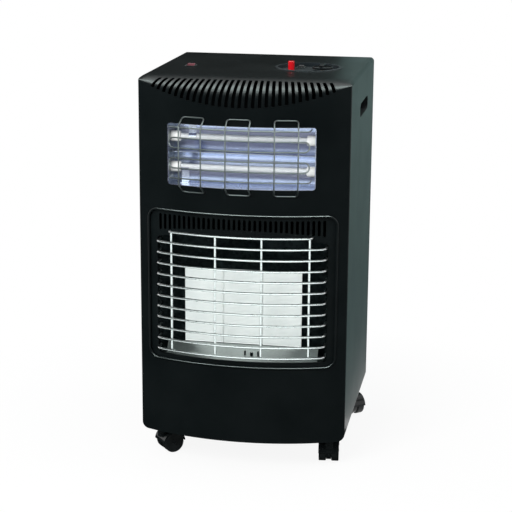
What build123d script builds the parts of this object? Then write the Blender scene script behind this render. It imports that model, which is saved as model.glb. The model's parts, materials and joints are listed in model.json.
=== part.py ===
from build123d import *
from math import asin, cos, degrees, radians, sin, sqrt
import os

# Dual-fuel cabinet heater: a gas radiant burner below, two quartz tubes above, a bottle space behind.
# Millimetres. X runs to the right seen from the front, Y to the rear, Z up with the floor at 0.
# Until a piece is saved, y = 0 is the front edge of the side panels.

# ---- Cabinet
CABINET_WIDTH = 410.0
SIDE_DEPTH = 390.0
BODY_HEIGHT = 710.0
FLOOR_GAP = 60.0
SHEET = 1.0
BOW_RADIUS = 488.0
FRONT_EDGE_RADIUS = 3.5
TOP_EDGE_RADIUS = 8.0
BOTTOM_EDGE_RADIUS = 14.0
SEAM = 0.3
FLANGE = 13.0
FRONT_SEAM_Y = 10.0
SHOULDER_STEP = 22.0
# How far a cutter runs past the face it opens, and the room left past the end of a stroke.
PAST = 1.0
STROKE_ROOM = 1.0

# ---- Shoulder between the front and the top, a quarter ellipse in side view
SHOULDER_BACK = 50.0
SHOULDER_DROP_MIDDLE = 50.0
SHOULDER_DROP_SIDE = 8.0
SHOULDER_LEAD = 0.8
SHOULDER_LIFT = 0.15
SHOULDER_EASE = 0.5523
VENT_COUNT = 29
VENT_ANGLE = 1.486
VENT_WIDTH = 6.6
VENT_REAR_Y = 14.0
VENT_MARGIN = 2.0

# ---- Partition behind the burner
SHIELD_Y = 88.0
SHIELD_FLANGE = 14.0

# ---- Rear closure
REAR_RAIL_HEIGHT = 92.0
COVER_SIDE_MARGIN = 3.0
COVER_GAP = 0.4
COVER_BOTTOM_MARGIN = 14.0
COVER_CORNER = 6.0
COVER_VENT_LENGTH = 62.0
COVER_VENT_HEIGHT = 6.0
COVER_VENT_PITCH_X = 84.0
COVER_VENT_PITCH_Z = 16.0
COVER_VENT_COLUMNS = 3
COVER_VENT_ROWS = 6
COVER_VENT_MARGIN = 90.0
SCREW_SHANK = 5.0
SCREW_SHANK_REACH = 9.0
SCREW_HEAD = 15.0
SCREW_HEAD_HEIGHT = 5.0
SCREW_SLOT = 2.0
SCREW_SLOT_DEPTH = 1.0
SCREW_CLEARANCE = 0.3
SCREW_INSET_X = 5.5
SCREW_INSET_Z = 18.0

CASING_SCREW_HEAD = 7.2
CASING_SCREW_HEIGHT = 1.8

# ---- Hand holes and their cups
HAND_HOLE_LENGTH = 134.0
HAND_HOLE_HEIGHT = 27.0
HAND_HOLE_Y = 213.0
HAND_HOLE_Z = FLOOR_GAP + 634.0
CUP_DEPTH = 26.0
CUP_WALL = 1.8
CUP_FLANGE = 8.0

# ---- Radiant burner section
SURROUND_MARGIN = 19.0
SURROUND_HEIGHT = 305.0
SURROUND_BOTTOM = FLOOR_GAP + 154.0
SURROUND_CORNER = 21.0
SURROUND_LIP = 3.2
SURROUND_PROUD = 2.4
SURROUND_SINK = 4.5
SURROUND_THICKNESS = 1.6
SURROUND_FIT = 0.3
SURROUND_LAP = 1.6
MOUTH_MARGIN = 19.0
MOUTH_BOTTOM = FLOOR_GAP + 166.0
MOUTH_SIDE_HEIGHT = 237.0
MOUTH_ARCH = 12.0
MOUTH_CORNER = 6.0
LOUVRE_COUNT = 33
LOUVRE_MARGIN = 26.0
LOUVRE_WIDTH = 5.4
LOUVRE_TOP = FLOOR_GAP + 448.0
LOUVRE_SHELF = 12.0
PAN_MARGIN = 0.6
PAN_BACK_Y = 5.0
PLAQUE_WIDTH = 76.5
PLAQUE_HEIGHT = 150.0
PLAQUE_THICKNESS = 12.0
PLAQUE_COUNT = 3
PLAQUE_JOINT = 1.0
PLAQUE_BOTTOM = FLOOR_GAP + 188.0
PLAQUE_PROUD = 2.0
PLAQUE_FIT = 0.3
PLENUM_RIM = 7.0
PLENUM_DEPTH = 38.0
PLENUM_WALL = 1.2

# ---- Radiant guard
ROD = 4.6
ROD_RADIUS = 461.0
ROD_STANDOFF = 8.0
ROD_COUNT = 11
ROD_SPACING = 21.66
ROD_BOTTOM = FLOOR_GAP + 178.4
ROD_BEND = 9.0
ROD_RETURN_Y = 1.0
TOP_ROD_INSET = 28.0
UPRIGHT_INSET = 4.3
UPRIGHT_COUNT = 4
UPRIGHT_LAP = 1.0
STRAP_LAP = 0.3
ROD_END_GAP = 0.2
STRAP_WIDTH = 9.0
STRAP_THICKNESS = 1.5

# ---- Burner gas path
VENTURI_BORE = 24.0
VENTURI_WALL = 1.2
VENTURI_Y = 66.0
VENTURI_ELBOW_Z = FLOOR_GAP + 253.0
VENTURI_MOUTH_Z = FLOOR_GAP + 103.0
VENTURI_FLARE = 7.0
VENTURI_FLARE_HEIGHT = 18.0
INJECTOR_DIAMETER = 9.0
INJECTOR_HEX = 14.0
INJECTOR_HEX_HEIGHT = 6.0
INJECTOR_BORE = 2.0
INJECTOR_TIP_GAP = 6.0
INJECTOR_LENGTH = 26.0
TAB_WIDTH = 26.0
TAB_THICKNESS = 1.5
TAB_LAP = 12.0
PIPE = 8.0
PIPE_BORE = 6.0
PIPE_BEND = 16.0
PIPE_LOW_Z = FLOOR_GAP + 45.0
PIPE_HOLE_CLEARANCE = 1.5

# ---- Pilot assembly on the floor of the recess
PILOT_X = 22.0
PILOT_CLEARANCE = 9.047
PILOT_PLATE_LENGTH = 44.0
PILOT_PLATE_DEPTH = 16.0
PILOT_PLATE_THICKNESS = 1.2
PILOT_TUBE = 6.0
PILOT_TUBE_WALL = 1.0
PILOT_TUBE_HEIGHT = 13.0
PILOT_TUBE_FLOOR = 3.0
PILOT_SLOT = 2.0
PILOT_SLOT_SILL = 5.0
PILOT_PITCH = 13.0
PROBE = 3.6
PROBE_HEIGHT = 16.0
PROBE_COLLAR = 6.0
PROBE_COLLAR_HEIGHT = 4.0

# ---- Electric section
TROUGH_Z = FLOOR_GAP + 567.5
TROUGH_MARGIN = 62.0
TROUGH_OPENING_CORNER = 6.0
TROUGH_PITCH = 59.5
TROUGH_AXIS_Y = 4.0
TROUGH_RIDGE = 7.4
REFLECTOR_SHEET = 0.8
REFLECTOR_FLANGE = 7.0
TROUGH_END_INSET = 2.0
END_PLATE_SHEET = 1.0
TUBE = 12.0
TUBE_WALL = 1.3
TUBE_FIT = 0.2
COIL = 8.0
END_CAP = 20.0
END_CAP_LENGTH = 19.0
END_CAP_EDGE = 2.5
END_CAP_SPIGOT = 7.0
END_CAP_SPIGOT_LENGTH = 6.0
TUBE_SOCKET = 8.0
CLIP_WIDTH = 14.5
CLIP_SHEET = 0.8
UPPER_CLIP_INSET = 44.0
LOWER_CLIP_INSET = 29.5

# ---- Electric guard
WIRE = 2.8
LOOP_STANDOFF = 22.0
LOOP_COUNT = 3
LOOP_MARGIN = 55.0
LOOP_WIDTH = 44.5
LOOP_SLANT = 15.5
LOOP_CORNER = 6.0
LOOP_TOP_Z = FLOOR_GAP + 641.0
LOOP_BOTTOM_Z = FLOOR_GAP + 497.0
GUARD_WIRE_COUNT = 6
GUARD_WIRE_PITCH = 19.4
GUARD_WIRE_BOTTOM = FLOOR_GAP + 526.0
GUARD_MARGIN = 9.0
GUARD_END_BEND = 8.0
WIRE_LAP = 0.4
LOOP_SEAT = 0.1

# ---- Control pod in the top panel
POD_X = 94.0
POD_Y = 198.0
POD_DIAMETER = 126.0
POD_RIM = 4.0
POD_RIM_HEIGHT = 1.4
POD_SINK = 6.0
POD_WALL = 2.0
POD_FIT = 0.3
KNOB_OFFSET_X = 28.0
KNOB_DIAMETER = 41.0
KNOB_SKIRT_HEIGHT = 4.0
KNOB_GRIP_WIDTH = 9.0
KNOB_GRIP_LENGTH = 37.0
KNOB_GRIP_HEIGHT = 5.0
KNOB_TRAVEL = 4.0
KNOB_FLOOR_GAP = 0.5
KNOB_EDGE = 1.2
KNOB_RIM = 2.5
KNOB_HOLLOW = 1.8
SPINDLE = 8.0
SPINDLE_FIT = 0.05
SPINDLE_LENGTH = 44.0
IGNITION_OFFSET_X = -35.0
IGNITION_DIAMETER = 13.0
IGNITION_HEIGHT = 12.0
IGNITION_TRAVEL = 6.0
IGNITION_FIT = 0.3
IGNITION_EDGE = 2.2
IGNITION_STEM = 6.0
IGNITION_STEM_LENGTH = 24.0
PIEZO_DIAMETER = 20.0
PIEZO_LENGTH = 57.0
PIEZO_TERMINAL = 4.0
PIEZO_TERMINAL_LENGTH = 6.0
VALVE_LENGTH = 46.0
VALVE_DEPTH = 38.0
VALVE_HEIGHT = 34.0
VALVE_NECK = 18.0
VALVE_NECK_HEIGHT = 14.0
HOSE_TAIL = 10.0
HOSE_TAIL_BORE = 5.0
HOSE_TAIL_LENGTH = 24.0
HOSE_TAIL_HEX = 17.0
HOSE_TAIL_HEX_HEIGHT = 8.0

# ---- Rocker switches
SELECTOR_X = 73.0
SELECTOR_Y = 236.0
POWER_X = -140.0
POWER_Y = 170.0
ROCKER_LENGTH = 19.0
SELECTOR_WIDTH = 11.0
POWER_WIDTH = 15.0
ROCKER_TILT = 8.0
ROCKER_BELOW = 3.0
ROCKER_END_RISE = 4.4
ROCKER_MIDDLE_RISE = 2.8
ROCKER_SIDE_GAP = 0.4
ROCKER_END_GAP = 1.0
ROCKER_PIN = 3.0
ROCKER_PIN_REACH = 1.0
ROCKER_PIN_PLAY = 0.2
SWITCH_WALL = 1.6
SWITCH_BEZEL = 3.0
SWITCH_BEZEL_HEIGHT = 1.6
SWITCH_BEZEL_CORNER = 1.5
SWITCH_BEZEL_EDGE = 0.5
SWITCH_DEPTH = 16.0

# ---- Electrical fittings behind the partition
TERMINAL_X = -120.0
TERMINAL_Z = FLOOR_GAP + 625.0
TERMINAL_LENGTH = 48.0
TERMINAL_HEIGHT = 20.0
TERMINAL_DEPTH = 16.0
TERMINAL_POLES = 4
TERMINAL_SCREW = 5.0
TERMINAL_SCREW_DEPTH = 5.0
GLAND_X = -150.0
GLAND_Z = FLOOR_GAP + 661.0
GLAND_BORE = 7.4
GLAND_BODY = 13.0
GLAND_FLANGE = 21.0
GLAND_FLANGE_THICKNESS = 3.0
GLAND_REACH = 13.0
GLAND_NUT_LENGTH = 6.0

# ---- Casters
CASTER_SIDE_INSET = 34.0
CASTER_FRONT_Y = 27.0
CASTER_REAR_INSET = 60.0
CASTER_FRONT_LEFT_TURN = -50.0
CASTER_FRONT_RIGHT_TURN = 6.0
CASTER_REAR_LEFT_TURN = 24.0
CASTER_REAR_RIGHT_TURN = -140.0
WHEEL_DIAMETER = 42.0
WHEEL_WIDTH = 14.5
WHEEL_GAP = 0.5
WHEEL_CORNER = 1.6
WHEEL_RIM = 4.0
WHEEL_DISH = 1.5
WHEEL_BORE_FIT = 0.05
CASTER_TRAIL = 18.0
CASTER_WEB = 10.0
CASTER_WEB_INSET = 3.0
HOOD_GAP = 1.2
HOOD_THICKNESS = 2.2
HOOD_WIDTH = 41.0
HOOD_SKIRT = 2.0
AXLE = 5.0
CASTER_PLATE = 38.0
CASTER_PLATE_THICKNESS = 2.5
CASTER_PLATE_CORNER = 5.0
STEM = 6.0
STEM_FIT = 0.05
STEM_LENGTH = 22.0
STEM_END_GAP = 1.5
SWIVEL_BOSS = 18.0
SWIVEL_BOSS_HEIGHT = 24.0
SWIVEL_GAP = 0.3

# ---- Values that follow from the driving sizes
HALF_WIDTH = CABINET_WIDTH / 2
BODY_TOP = FLOOR_GAP + BODY_HEIGHT
BOW_CENTRE_Y = sqrt(BOW_RADIUS**2 - HALF_WIDTH**2)
BOW_APEX_Y = BOW_CENTRE_Y - BOW_RADIUS
TOP_BAND = TOP_EDGE_RADIUS + SHEET
BOTTOM_BAND = BOTTOM_EDGE_RADIUS + SHEET
STEP_Z = BODY_TOP - SHOULDER_STEP
REAR_FLANGE_Y = SIDE_DEPTH - SHEET
RAIL_BOTTOM = BODY_TOP - REAR_RAIL_HEIGHT
COVER_WIDTH = CABINET_WIDTH - 2 * COVER_SIDE_MARGIN
COVER_Y = SIDE_DEPTH + COVER_GAP
COVER_BACK_Y = COVER_Y + SHEET
COVER_BOTTOM = FLOOR_GAP + COVER_BOTTOM_MARGIN
COVER_TOP = RAIL_BOTTOM + 2 * FLANGE
SURROUND_WIDTH = CABINET_WIDTH - 2 * SURROUND_MARGIN
MOUTH_WIDTH = SURROUND_WIDTH - 2 * MOUTH_MARGIN
MOUTH_SIDE_TOP = MOUTH_BOTTOM + MOUTH_SIDE_HEIGHT
MOUTH_TOP = MOUTH_SIDE_TOP + MOUTH_ARCH
LOUVRE_PITCH = (SURROUND_WIDTH - 2 * LOUVRE_MARGIN) / (LOUVRE_COUNT - 1)
PLAQUE_ROW = PLAQUE_COUNT * PLAQUE_WIDTH + (PLAQUE_COUNT - 1) * PLAQUE_JOINT
PLAQUE_MIDDLE_Z = PLAQUE_BOTTOM + PLAQUE_HEIGHT / 2
PLAQUE_FACE_Y = PAN_BACK_Y - PLAQUE_PROUD
PLENUM_FRONT_Y = PAN_BACK_Y + SHEET
PLENUM_BACK_Y = PLENUM_FRONT_Y + PLENUM_DEPTH
PILOT_Y = BOW_APEX_Y + SURROUND_SINK + SURROUND_THICKNESS + PILOT_CLEARANCE + PILOT_PLATE_DEPTH / 2
STRAP_X = MOUTH_WIDTH / 2 + PAN_MARGIN - STRAP_THICKNESS
ROD_HALF_SPAN = STRAP_X + STRAP_LAP - ROD / 2
TOP_ROD_HALF_SPAN = MOUTH_WIDTH / 2 - TOP_ROD_INSET
UPRIGHT_PITCH = 2 * (TOP_ROD_HALF_SPAN - UPRIGHT_INSET) / (UPRIGHT_COUNT - 1)
TROUGH_WIDTH = CABINET_WIDTH - 2 * TROUGH_MARGIN
TROUGH_HEIGHT = 2 * TROUGH_PITCH
UPPER_CLIP_X = UPPER_CLIP_INSET - TROUGH_WIDTH / 2
LOWER_CLIP_X = LOWER_CLIP_INSET - TROUGH_WIDTH / 2
LOOP_PITCH = (TROUGH_WIDTH - 2 * LOOP_MARGIN) / (LOOP_COUNT - 1)
GUARD_HALF_SPAN = TROUGH_WIDTH / 2 - GUARD_MARGIN
GUARD_WIRE_RADIUS = sqrt((BOW_RADIUS + LOOP_STANDOFF) ** 2 + (LOOP_WIDTH / 2) ** 2) - WIRE + WIRE_LAP
POD_FLOOR_Z = BODY_TOP - POD_SINK
POD_UNDER_Z = POD_FLOOR_Z - POD_WALL
KNOB_X = POD_X + KNOB_OFFSET_X
KNOB_SKIRT_Z = POD_FLOOR_Z + KNOB_TRAVEL + KNOB_FLOOR_GAP
KNOB_TOP_Z = KNOB_SKIRT_Z + KNOB_SKIRT_HEIGHT + KNOB_GRIP_HEIGHT
SPINDLE_TOP_Z = KNOB_SKIRT_Z + KNOB_SKIRT_HEIGHT
SPINDLE_BOTTOM_Z = SPINDLE_TOP_Z - SPINDLE_LENGTH
VALVE_TOP_Z = POD_UNDER_Z - VALVE_NECK_HEIGHT
VALVE_BOTTOM_Z = VALVE_TOP_Z - VALVE_HEIGHT
VALVE_MIDDLE_Z = VALVE_TOP_Z - VALVE_HEIGHT / 2
IGNITION_X = POD_X + IGNITION_OFFSET_X
IGNITION_TOP_Z = BODY_TOP + IGNITION_HEIGHT
IGNITION_CAP_Z = POD_UNDER_Z
CASTER_X = HALF_WIDTH - CASTER_SIDE_INSET
CASTER_REAR_Y = SIDE_DEPTH - CASTER_REAR_INSET
AXLE_Z = WHEEL_DIAMETER / 2
HOOD_INNER = WHEEL_DIAMETER / 2 + HOOD_GAP
HOOD_OUTER = HOOD_INNER + HOOD_THICKNESS
PLATE_Z = FLOOR_GAP - CASTER_PLATE_THICKNESS
BOSS_TOP_Z = PLATE_Z - SWIVEL_GAP
FRONT_REACH_Y = BOW_APEX_Y - LOOP_STANDOFF - WIRE / 2
REAR_REACH_Y = SIDE_DEPTH + GLAND_REACH
ORIGIN_Y = (FRONT_REACH_Y + REAR_REACH_Y) / 2


# ---- Small helpers
def bow_y(x, radius):
    """Where a bow of this radius, about the bow's own axis, lies at x."""
    return BOW_CENTRE_Y - sqrt(radius**2 - x**2)


def box_between(x0, x1, y0, y1, z0, z1):
    """A box given by its limits."""
    return Pos((x0 + x1) / 2, (y0 + y1) / 2, (z0 + z1) / 2) * Box(x1 - x0, y1 - y0, z1 - z0)


def front_slab(sketch, y0, y1, x=0.0, z=0.0):
    """A sketch seen from the front, given depth from y0 to y1."""
    plane = Plane(origin=(x, y1, z), x_dir=(1, 0, 0), z_dir=(0, -1, 0))
    return extrude(plane * sketch, amount=y1 - y0)


def side_slab(sketch, x0, x1, y=0.0, z=0.0):
    """A sketch in side view (own X to the rear, own Y up), given width from x0 to x1."""
    plane = Plane(origin=(x0, y, z), x_dir=(0, 1, 0), z_dir=(1, 0, 0))
    return extrude(plane * sketch, amount=x1 - x0)


def upright(sketch, z0, z1, x=0.0, y=0.0):
    """A sketch seen from above, given height from z0 to z1."""
    return extrude(Pos(x, y, z0) * sketch, amount=z1 - z0)


def rod_along_x(radius, x0, x1, y, z):
    """A round bar along X."""
    return side_slab(Circle(radius), x0, x1, y, z)


def rod_along_y(radius, y0, y1, x, z):
    """A round bar along Y."""
    return front_slab(Circle(radius), y0, y1, x, z)


def bow_drum(radius):
    """The upright drum whose front is the bow, as tall as the heater."""
    return upright(Circle(radius), 0, BODY_TOP + FLOOR_GAP, 0, BOW_CENTRE_Y)


def bowed(sketch, inner, outer, x=0.0, z=0.0):
    """A sketch seen from the front, cut from a sheet between two offsets of the bow."""
    block = front_slab(sketch, BOW_APEX_Y - outer - SHEET, FRONT_SEAM_Y, x, z)
    return (block & bow_drum(BOW_RADIUS + outer)) - bow_drum(BOW_RADIUS + inner)


def rounded(width, height, radius):
    """A rounded rectangle."""
    return RectangleRounded(width, height, radius)


def stadium(length, width):
    """A slot shape with half-round ends, lying along its own X."""
    return SlotOverall(length, width)


def mirror_x(shape):
    """The same piece on the other side."""
    return mirror(shape, about=Plane.YZ)


# ---- The cabinet's outer form, and the sheet that follows it
def plan_face(shrink, rear):
    """The outline seen from above: straight sides and a bowed front."""
    half = HALF_WIDTH - shrink
    radius = BOW_RADIUS - shrink
    front = bow_y(half, radius)
    edges = [
        Line((-half, rear), (-half, front)),
        ThreePointArc((-half, front), (0, bow_y(0, radius)), (half, front)),
        Line((half, front), (half, rear)),
        Line((half, rear), (-half, rear)),
    ]
    face = make_face(edges)
    return fillet(face.vertices().sort_by(Axis.Y)[:2], FRONT_EDGE_RADIUS - shrink)


def shoulder_drop(x):
    """How far below the top the shoulder ends at x: deepest in the middle, along an arc."""
    share = (x / HALF_WIDTH) ** 2
    return SHOULDER_DROP_MIDDLE + (SHOULDER_DROP_SIDE - SHOULDER_DROP_MIDDLE) * share


def shoulder_section(x):
    """What the shoulder takes away at x: all that lies outside a quarter ellipse."""
    start_z = BODY_TOP + SHOULDER_LIFT
    end_y = bow_y(x, BOW_RADIUS) - SHOULDER_LEAD
    end_z = BODY_TOP - shoulder_drop(x)
    ease_y = SHOULDER_BACK + SHOULDER_EASE * (end_y - SHOULDER_BACK)
    ease_z = end_z + SHOULDER_EASE * (start_z - end_z)
    ahead = BOW_APEX_Y - SHOULDER_BACK
    above = BODY_TOP + FLANGE
    edges = [
        Bezier((SHOULDER_BACK, start_z), (ease_y, start_z), (end_y, ease_z), (end_y, end_z)),
        Polyline(
            (end_y, end_z), (ahead, end_z), (ahead, above), (SHOULDER_BACK, above), (SHOULDER_BACK, start_z),
        ),
    ]
    plane = Plane(origin=(x, 0, 0), x_dir=(0, 1, 0), z_dir=(1, 0, 0))
    return plane * make_face(edges)


def shoulder_cutter():
    """The block that is taken off the cabinet to leave the rolled shoulder."""
    reach = HALF_WIDTH + FRONT_SEAM_Y
    sections = []
    for number in range(-3, 4):
        sections.append(shoulder_section(reach * number / 3).face())
    return loft(sections)


def front_face(shrink):
    """The outline seen from the front, with its rounded corners."""
    half = HALF_WIDTH - shrink
    low = FLOOR_GAP + shrink
    high = BODY_TOP - shrink
    corners = Polyline((-half, low), (half, low), (half, high), (-half, high), close=True)
    face = make_face(corners.edges())
    face = fillet(face.vertices().sort_by(Axis.Y)[-2:], TOP_EDGE_RADIUS - shrink)
    return fillet(face.vertices().sort_by(Axis.Y)[:2], BOTTOM_EDGE_RADIUS - shrink)


def cabinet_block(shrink, rear):
    """The cabinet as one block, its skin drawn in by shrink."""
    ahead = BOW_APEX_Y - SHOULDER_BACK
    plan = upright(plan_face(shrink, rear), FLOOR_GAP - SHEET, BODY_TOP + SHEET)
    outline = front_slab(front_face(shrink), ahead, rear)
    return (plan & outline) - Pos(0, shrink, -shrink) * shoulder_cutter()


def inner_space():
    """The room inside the sheet, open at the rear."""
    return cabinet_block(SHEET, SIDE_DEPTH + FLANGE)


def front_region(grow):
    """Where the front panel ends: a shallow return at the sides, a deeper one over the shoulder."""
    wide = CABINET_WIDTH
    ahead = BOW_APEX_Y - SHOULDER_BACK
    face = box_between(-wide, wide, ahead, FRONT_SEAM_Y + grow, 0, BODY_TOP + FLANGE)
    shoulder = box_between(-wide, wide, ahead, SHOULDER_BACK + grow, STEP_Z - grow, BODY_TOP + FLANGE)
    return face + shoulder


# ---- Casing
def vent_cutters():
    """The fan of slots across the shoulder, each in a plane through the bow's axis."""
    front = BOW_RADIUS + SHEET
    cutters = []
    for number in range(VENT_COUNT):
        angle = (number - (VENT_COUNT - 1) / 2) * VENT_ANGLE
        reach = (BOW_CENTRE_Y - VENT_REAR_Y) / cos(radians(angle))
        length = front - reach + VENT_WIDTH
        low = BODY_TOP - shoulder_drop(BOW_RADIUS * sin(radians(angle))) + VENT_MARGIN
        slot = upright(stadium(length, VENT_WIDTH), low, BODY_TOP + SHEET, -(reach + length / 2), 0)
        cutters.append(Pos(0, BOW_CENTRE_Y, 0) * Rot(0, 0, 90 + angle) * slot)
    return cutters


def front_panel(shell):
    """The bowed front with its shoulder, vents and two openings."""
    panel = shell & front_region(0)
    flange_x = HALF_WIDTH - SHEET
    low = FLOOR_GAP + BOTTOM_BAND
    flange = box_between(flange_x - FLANGE, flange_x, FRONT_SEAM_Y - SHEET, FRONT_SEAM_Y, low, STEP_Z)
    panel = panel + flange + mirror_x(flange)
    lip_half = flange_x - TOP_BAND
    panel = panel + box_between(
        -lip_half, lip_half, SHOULDER_BACK - SHEET, SHOULDER_BACK, BODY_TOP - FLANGE, BODY_TOP - SHEET
    )
    surround_cut = rounded(
        SURROUND_WIDTH - 2 * SURROUND_LAP, SURROUND_HEIGHT - 2 * SURROUND_LAP, SURROUND_CORNER - SURROUND_LAP
    )
    surround_z = SURROUND_BOTTOM + SURROUND_HEIGHT / 2
    ahead = BOW_APEX_Y - FLANGE
    panel = panel - front_slab(surround_cut, ahead, FRONT_SEAM_Y - SHEET, 0, surround_z)
    trough_cut = rounded(TROUGH_WIDTH, TROUGH_HEIGHT, TROUGH_OPENING_CORNER)
    panel = panel - front_slab(trough_cut, ahead, FRONT_SEAM_Y - SHEET, 0, TROUGH_Z)
    return panel - vent_cutters()


def hand_hole(x0, x1, grow=0.0):
    """The hand hole's form, between two planes across the cabinet."""
    shape = stadium(HAND_HOLE_LENGTH + 2 * grow, HAND_HOLE_HEIGHT + 2 * grow)
    return side_slab(shape, x0, x1, HAND_HOLE_Y, HAND_HOLE_Z)


def side_panel(shell):
    """The right side, rounded over at the top and under at the bottom."""
    beyond = CABINET_WIDTH
    middle = FLOOR_GAP + BODY_HEIGHT / 2
    rear = SIDE_DEPTH + FLANGE
    upper = box_between(HALF_WIDTH - TOP_BAND, beyond, BOW_APEX_Y, rear, middle, BODY_TOP + FLANGE)
    lower = box_between(HALF_WIDTH - BOTTOM_BAND, beyond, BOW_APEX_Y, rear, 0, middle)
    panel = (shell & (upper + lower)) - front_region(SEAM)
    inside = HALF_WIDTH - SHEET
    low = FLOOR_GAP + BOTTOM_BAND
    front_y = FRONT_SEAM_Y + SEAM
    panel = panel + box_between(inside - FLANGE, inside, front_y, front_y + SHEET, low, STEP_Z - FLANGE)
    panel = panel + box_between(
        inside - FLANGE, inside, REAR_FLANGE_Y, SIDE_DEPTH, low, BODY_TOP - FLANGE - SEAM
    )
    panel = panel - hand_hole(inside - SHEET, beyond)
    return panel - screw_hole(HALF_WIDTH)


def screw_positions():
    """Centres of the two cover screws, seen from the front."""
    x = COVER_WIDTH / 2 - SCREW_INSET_X
    z = COVER_TOP - SCREW_INSET_Z
    return [(-x, z), (x, z)]


def screw_hole(reach):
    """Clearance holes for the cover screws."""
    holes = Part()
    for x, z in screw_positions():
        radius = SCREW_SHANK / 2 + SCREW_CLEARANCE
        holes = holes + rod_along_y(radius, SIDE_DEPTH - SCREW_SHANK_REACH, SIDE_DEPTH + FLANGE, x, z)
    return holes


def top_panel(shell):
    """The flat top with folded edges, the pod's hole and the switch's hole."""
    half = HALF_WIDTH - TOP_BAND - SEAM
    front = SHOULDER_BACK + SEAM
    fold = BODY_TOP - FLANGE
    panel = shell & box_between(-half, half, front, SIDE_DEPTH, BODY_TOP - 2 * SHEET, BODY_TOP)
    under = BODY_TOP - SHEET
    panel = panel + box_between(-half, half, front, front + SHEET, fold, under)
    panel = panel + box_between(-half, half, REAR_FLANGE_Y, SIDE_DEPTH, fold, under)
    side = box_between(half - SHEET, half, front, SIDE_DEPTH, fold, under)
    panel = panel + side + mirror_x(side)
    pod_radius = POD_DIAMETER / 2 + POD_FIT
    panel = panel - upright(Circle(pod_radius), fold, BODY_TOP + SHEET, POD_X, POD_Y)
    cut = Rectangle(
        POWER_WIDTH + 2 * (ROCKER_SIDE_GAP + SWITCH_WALL + POD_FIT),
        ROCKER_LENGTH + 2 * (ROCKER_END_GAP + SWITCH_WALL + POD_FIT),
    )
    return panel - upright(cut, fold, BODY_TOP + SHEET, POWER_X, POWER_Y)


def base_tray(shell):
    """The floor that carries the gas bottle, with upturned edges."""
    half = HALF_WIDTH - BOTTOM_BAND - SEAM
    front = FRONT_SEAM_Y + SEAM
    tray = shell & box_between(-half, half, front, SIDE_DEPTH, FLOOR_GAP, FLOOR_GAP + 2 * SHEET)
    over = FLOOR_GAP + SHEET
    rise = FLOOR_GAP + FLANGE
    side = box_between(half - SHEET, half, front, SIDE_DEPTH, over, rise)
    rear = box_between(-half, half, REAR_FLANGE_Y, SIDE_DEPTH, over, rise)
    lip = box_between(-half, half, front, front + SHEET, over, rise)
    return tray + side + mirror_x(side) + rear + lip


def heat_shield():
    """The full-height partition between the burner and the gas bottle."""
    back = SHIELD_Y + SHEET
    shield = inner_space() & box_between(
        -CABINET_WIDTH, CABINET_WIDTH, SHIELD_Y, back, 0, BODY_TOP
    )
    inside = HALF_WIDTH - SHEET
    wing = box_between(
        inside - SHEET, inside, back, back + SHIELD_FLANGE, FLOOR_GAP + 2 * FLANGE, BODY_TOP - 2 * FLANGE
    )
    base_half = HALF_WIDTH - BOTTOM_BAND - SEAM - SHEET
    foot_gap = box_between(base_half - SEAM, CABINET_WIDTH, SHIELD_Y, back, 0, FLOOR_GAP + FLANGE + SEAM)
    top_half = HALF_WIDTH - TOP_BAND - SEAM - SHEET
    head_gap = box_between(top_half - SEAM, CABINET_WIDTH, SHIELD_Y, back, BODY_TOP - FLANGE - SEAM, BODY_TOP)
    shield = shield - foot_gap - mirror_x(foot_gap) - head_gap - mirror_x(head_gap)
    pipe_radius = PIPE / 2 + PIPE_HOLE_CLEARANCE
    shield = shield - rod_along_y(pipe_radius, SHIELD_Y - SHEET, back + SHEET, KNOB_X, VALVE_MIDDLE_Z)
    tab_top = injector_seat_z()
    tab = box_between(
        -TAB_WIDTH / 2, TAB_WIDTH / 2, VENTURI_Y - TAB_LAP, SHIELD_Y, tab_top - TAB_THICKNESS, tab_top
    )
    tab = tab - upright(Circle(INJECTOR_DIAMETER / 2), 0, tab_top + SHEET, 0, VENTURI_Y)
    return shield + wing + mirror_x(wing) + tab


def rear_rail():
    """The fixed strip above the removable cover, which also carries the cord gland."""
    half = HALF_WIDTH - SHEET - SHEET
    front = REAR_FLANGE_Y - SHEET
    top = BODY_TOP - FLANGE - SEAM
    rail = box_between(-half, half, front, REAR_FLANGE_Y, RAIL_BOTTOM, top)
    fold = box_between(-half + FLANGE, half - FLANGE, front - FLANGE, front, RAIL_BOTTOM, RAIL_BOTTOM + SHEET)
    rail = rail + fold
    gland_hole = rod_along_y(GLAND_BODY / 2 + POD_FIT, front - SHEET, SIDE_DEPTH + SHEET, GLAND_X, GLAND_Z)
    return rail - gland_hole - screw_hole(HALF_WIDTH)


def rear_cover():
    """The lift-off back of the bottle space, with rows of vent slots."""
    height = COVER_TOP - COVER_BOTTOM
    cover = front_slab(
        rounded(COVER_WIDTH, height, COVER_CORNER), COVER_Y, COVER_BACK_Y, 0, COVER_BOTTOM + height / 2
    )
    vents = []
    for row in range(COVER_VENT_ROWS):
        for column in range(COVER_VENT_COLUMNS):
            x = (column - (COVER_VENT_COLUMNS - 1) / 2) * COVER_VENT_PITCH_X
            step = row * COVER_VENT_PITCH_Z
            slot = stadium(COVER_VENT_LENGTH, COVER_VENT_HEIGHT)
            for z in (COVER_BOTTOM + COVER_VENT_MARGIN + step, COVER_TOP - COVER_VENT_MARGIN - step):
                vents.append(front_slab(slot, COVER_Y - SHEET, COVER_BACK_Y + SHEET, x, z))
    fold_half = COVER_WIDTH / 2 - COVER_CORNER - FLANGE
    fold = box_between(
        -fold_half, fold_half, COVER_Y - FLANGE, COVER_Y, COVER_BOTTOM + FLANGE, COVER_BOTTOM + FLANGE + SHEET
    )
    return cover + fold - vents - screw_hole(HALF_WIDTH)


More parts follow.
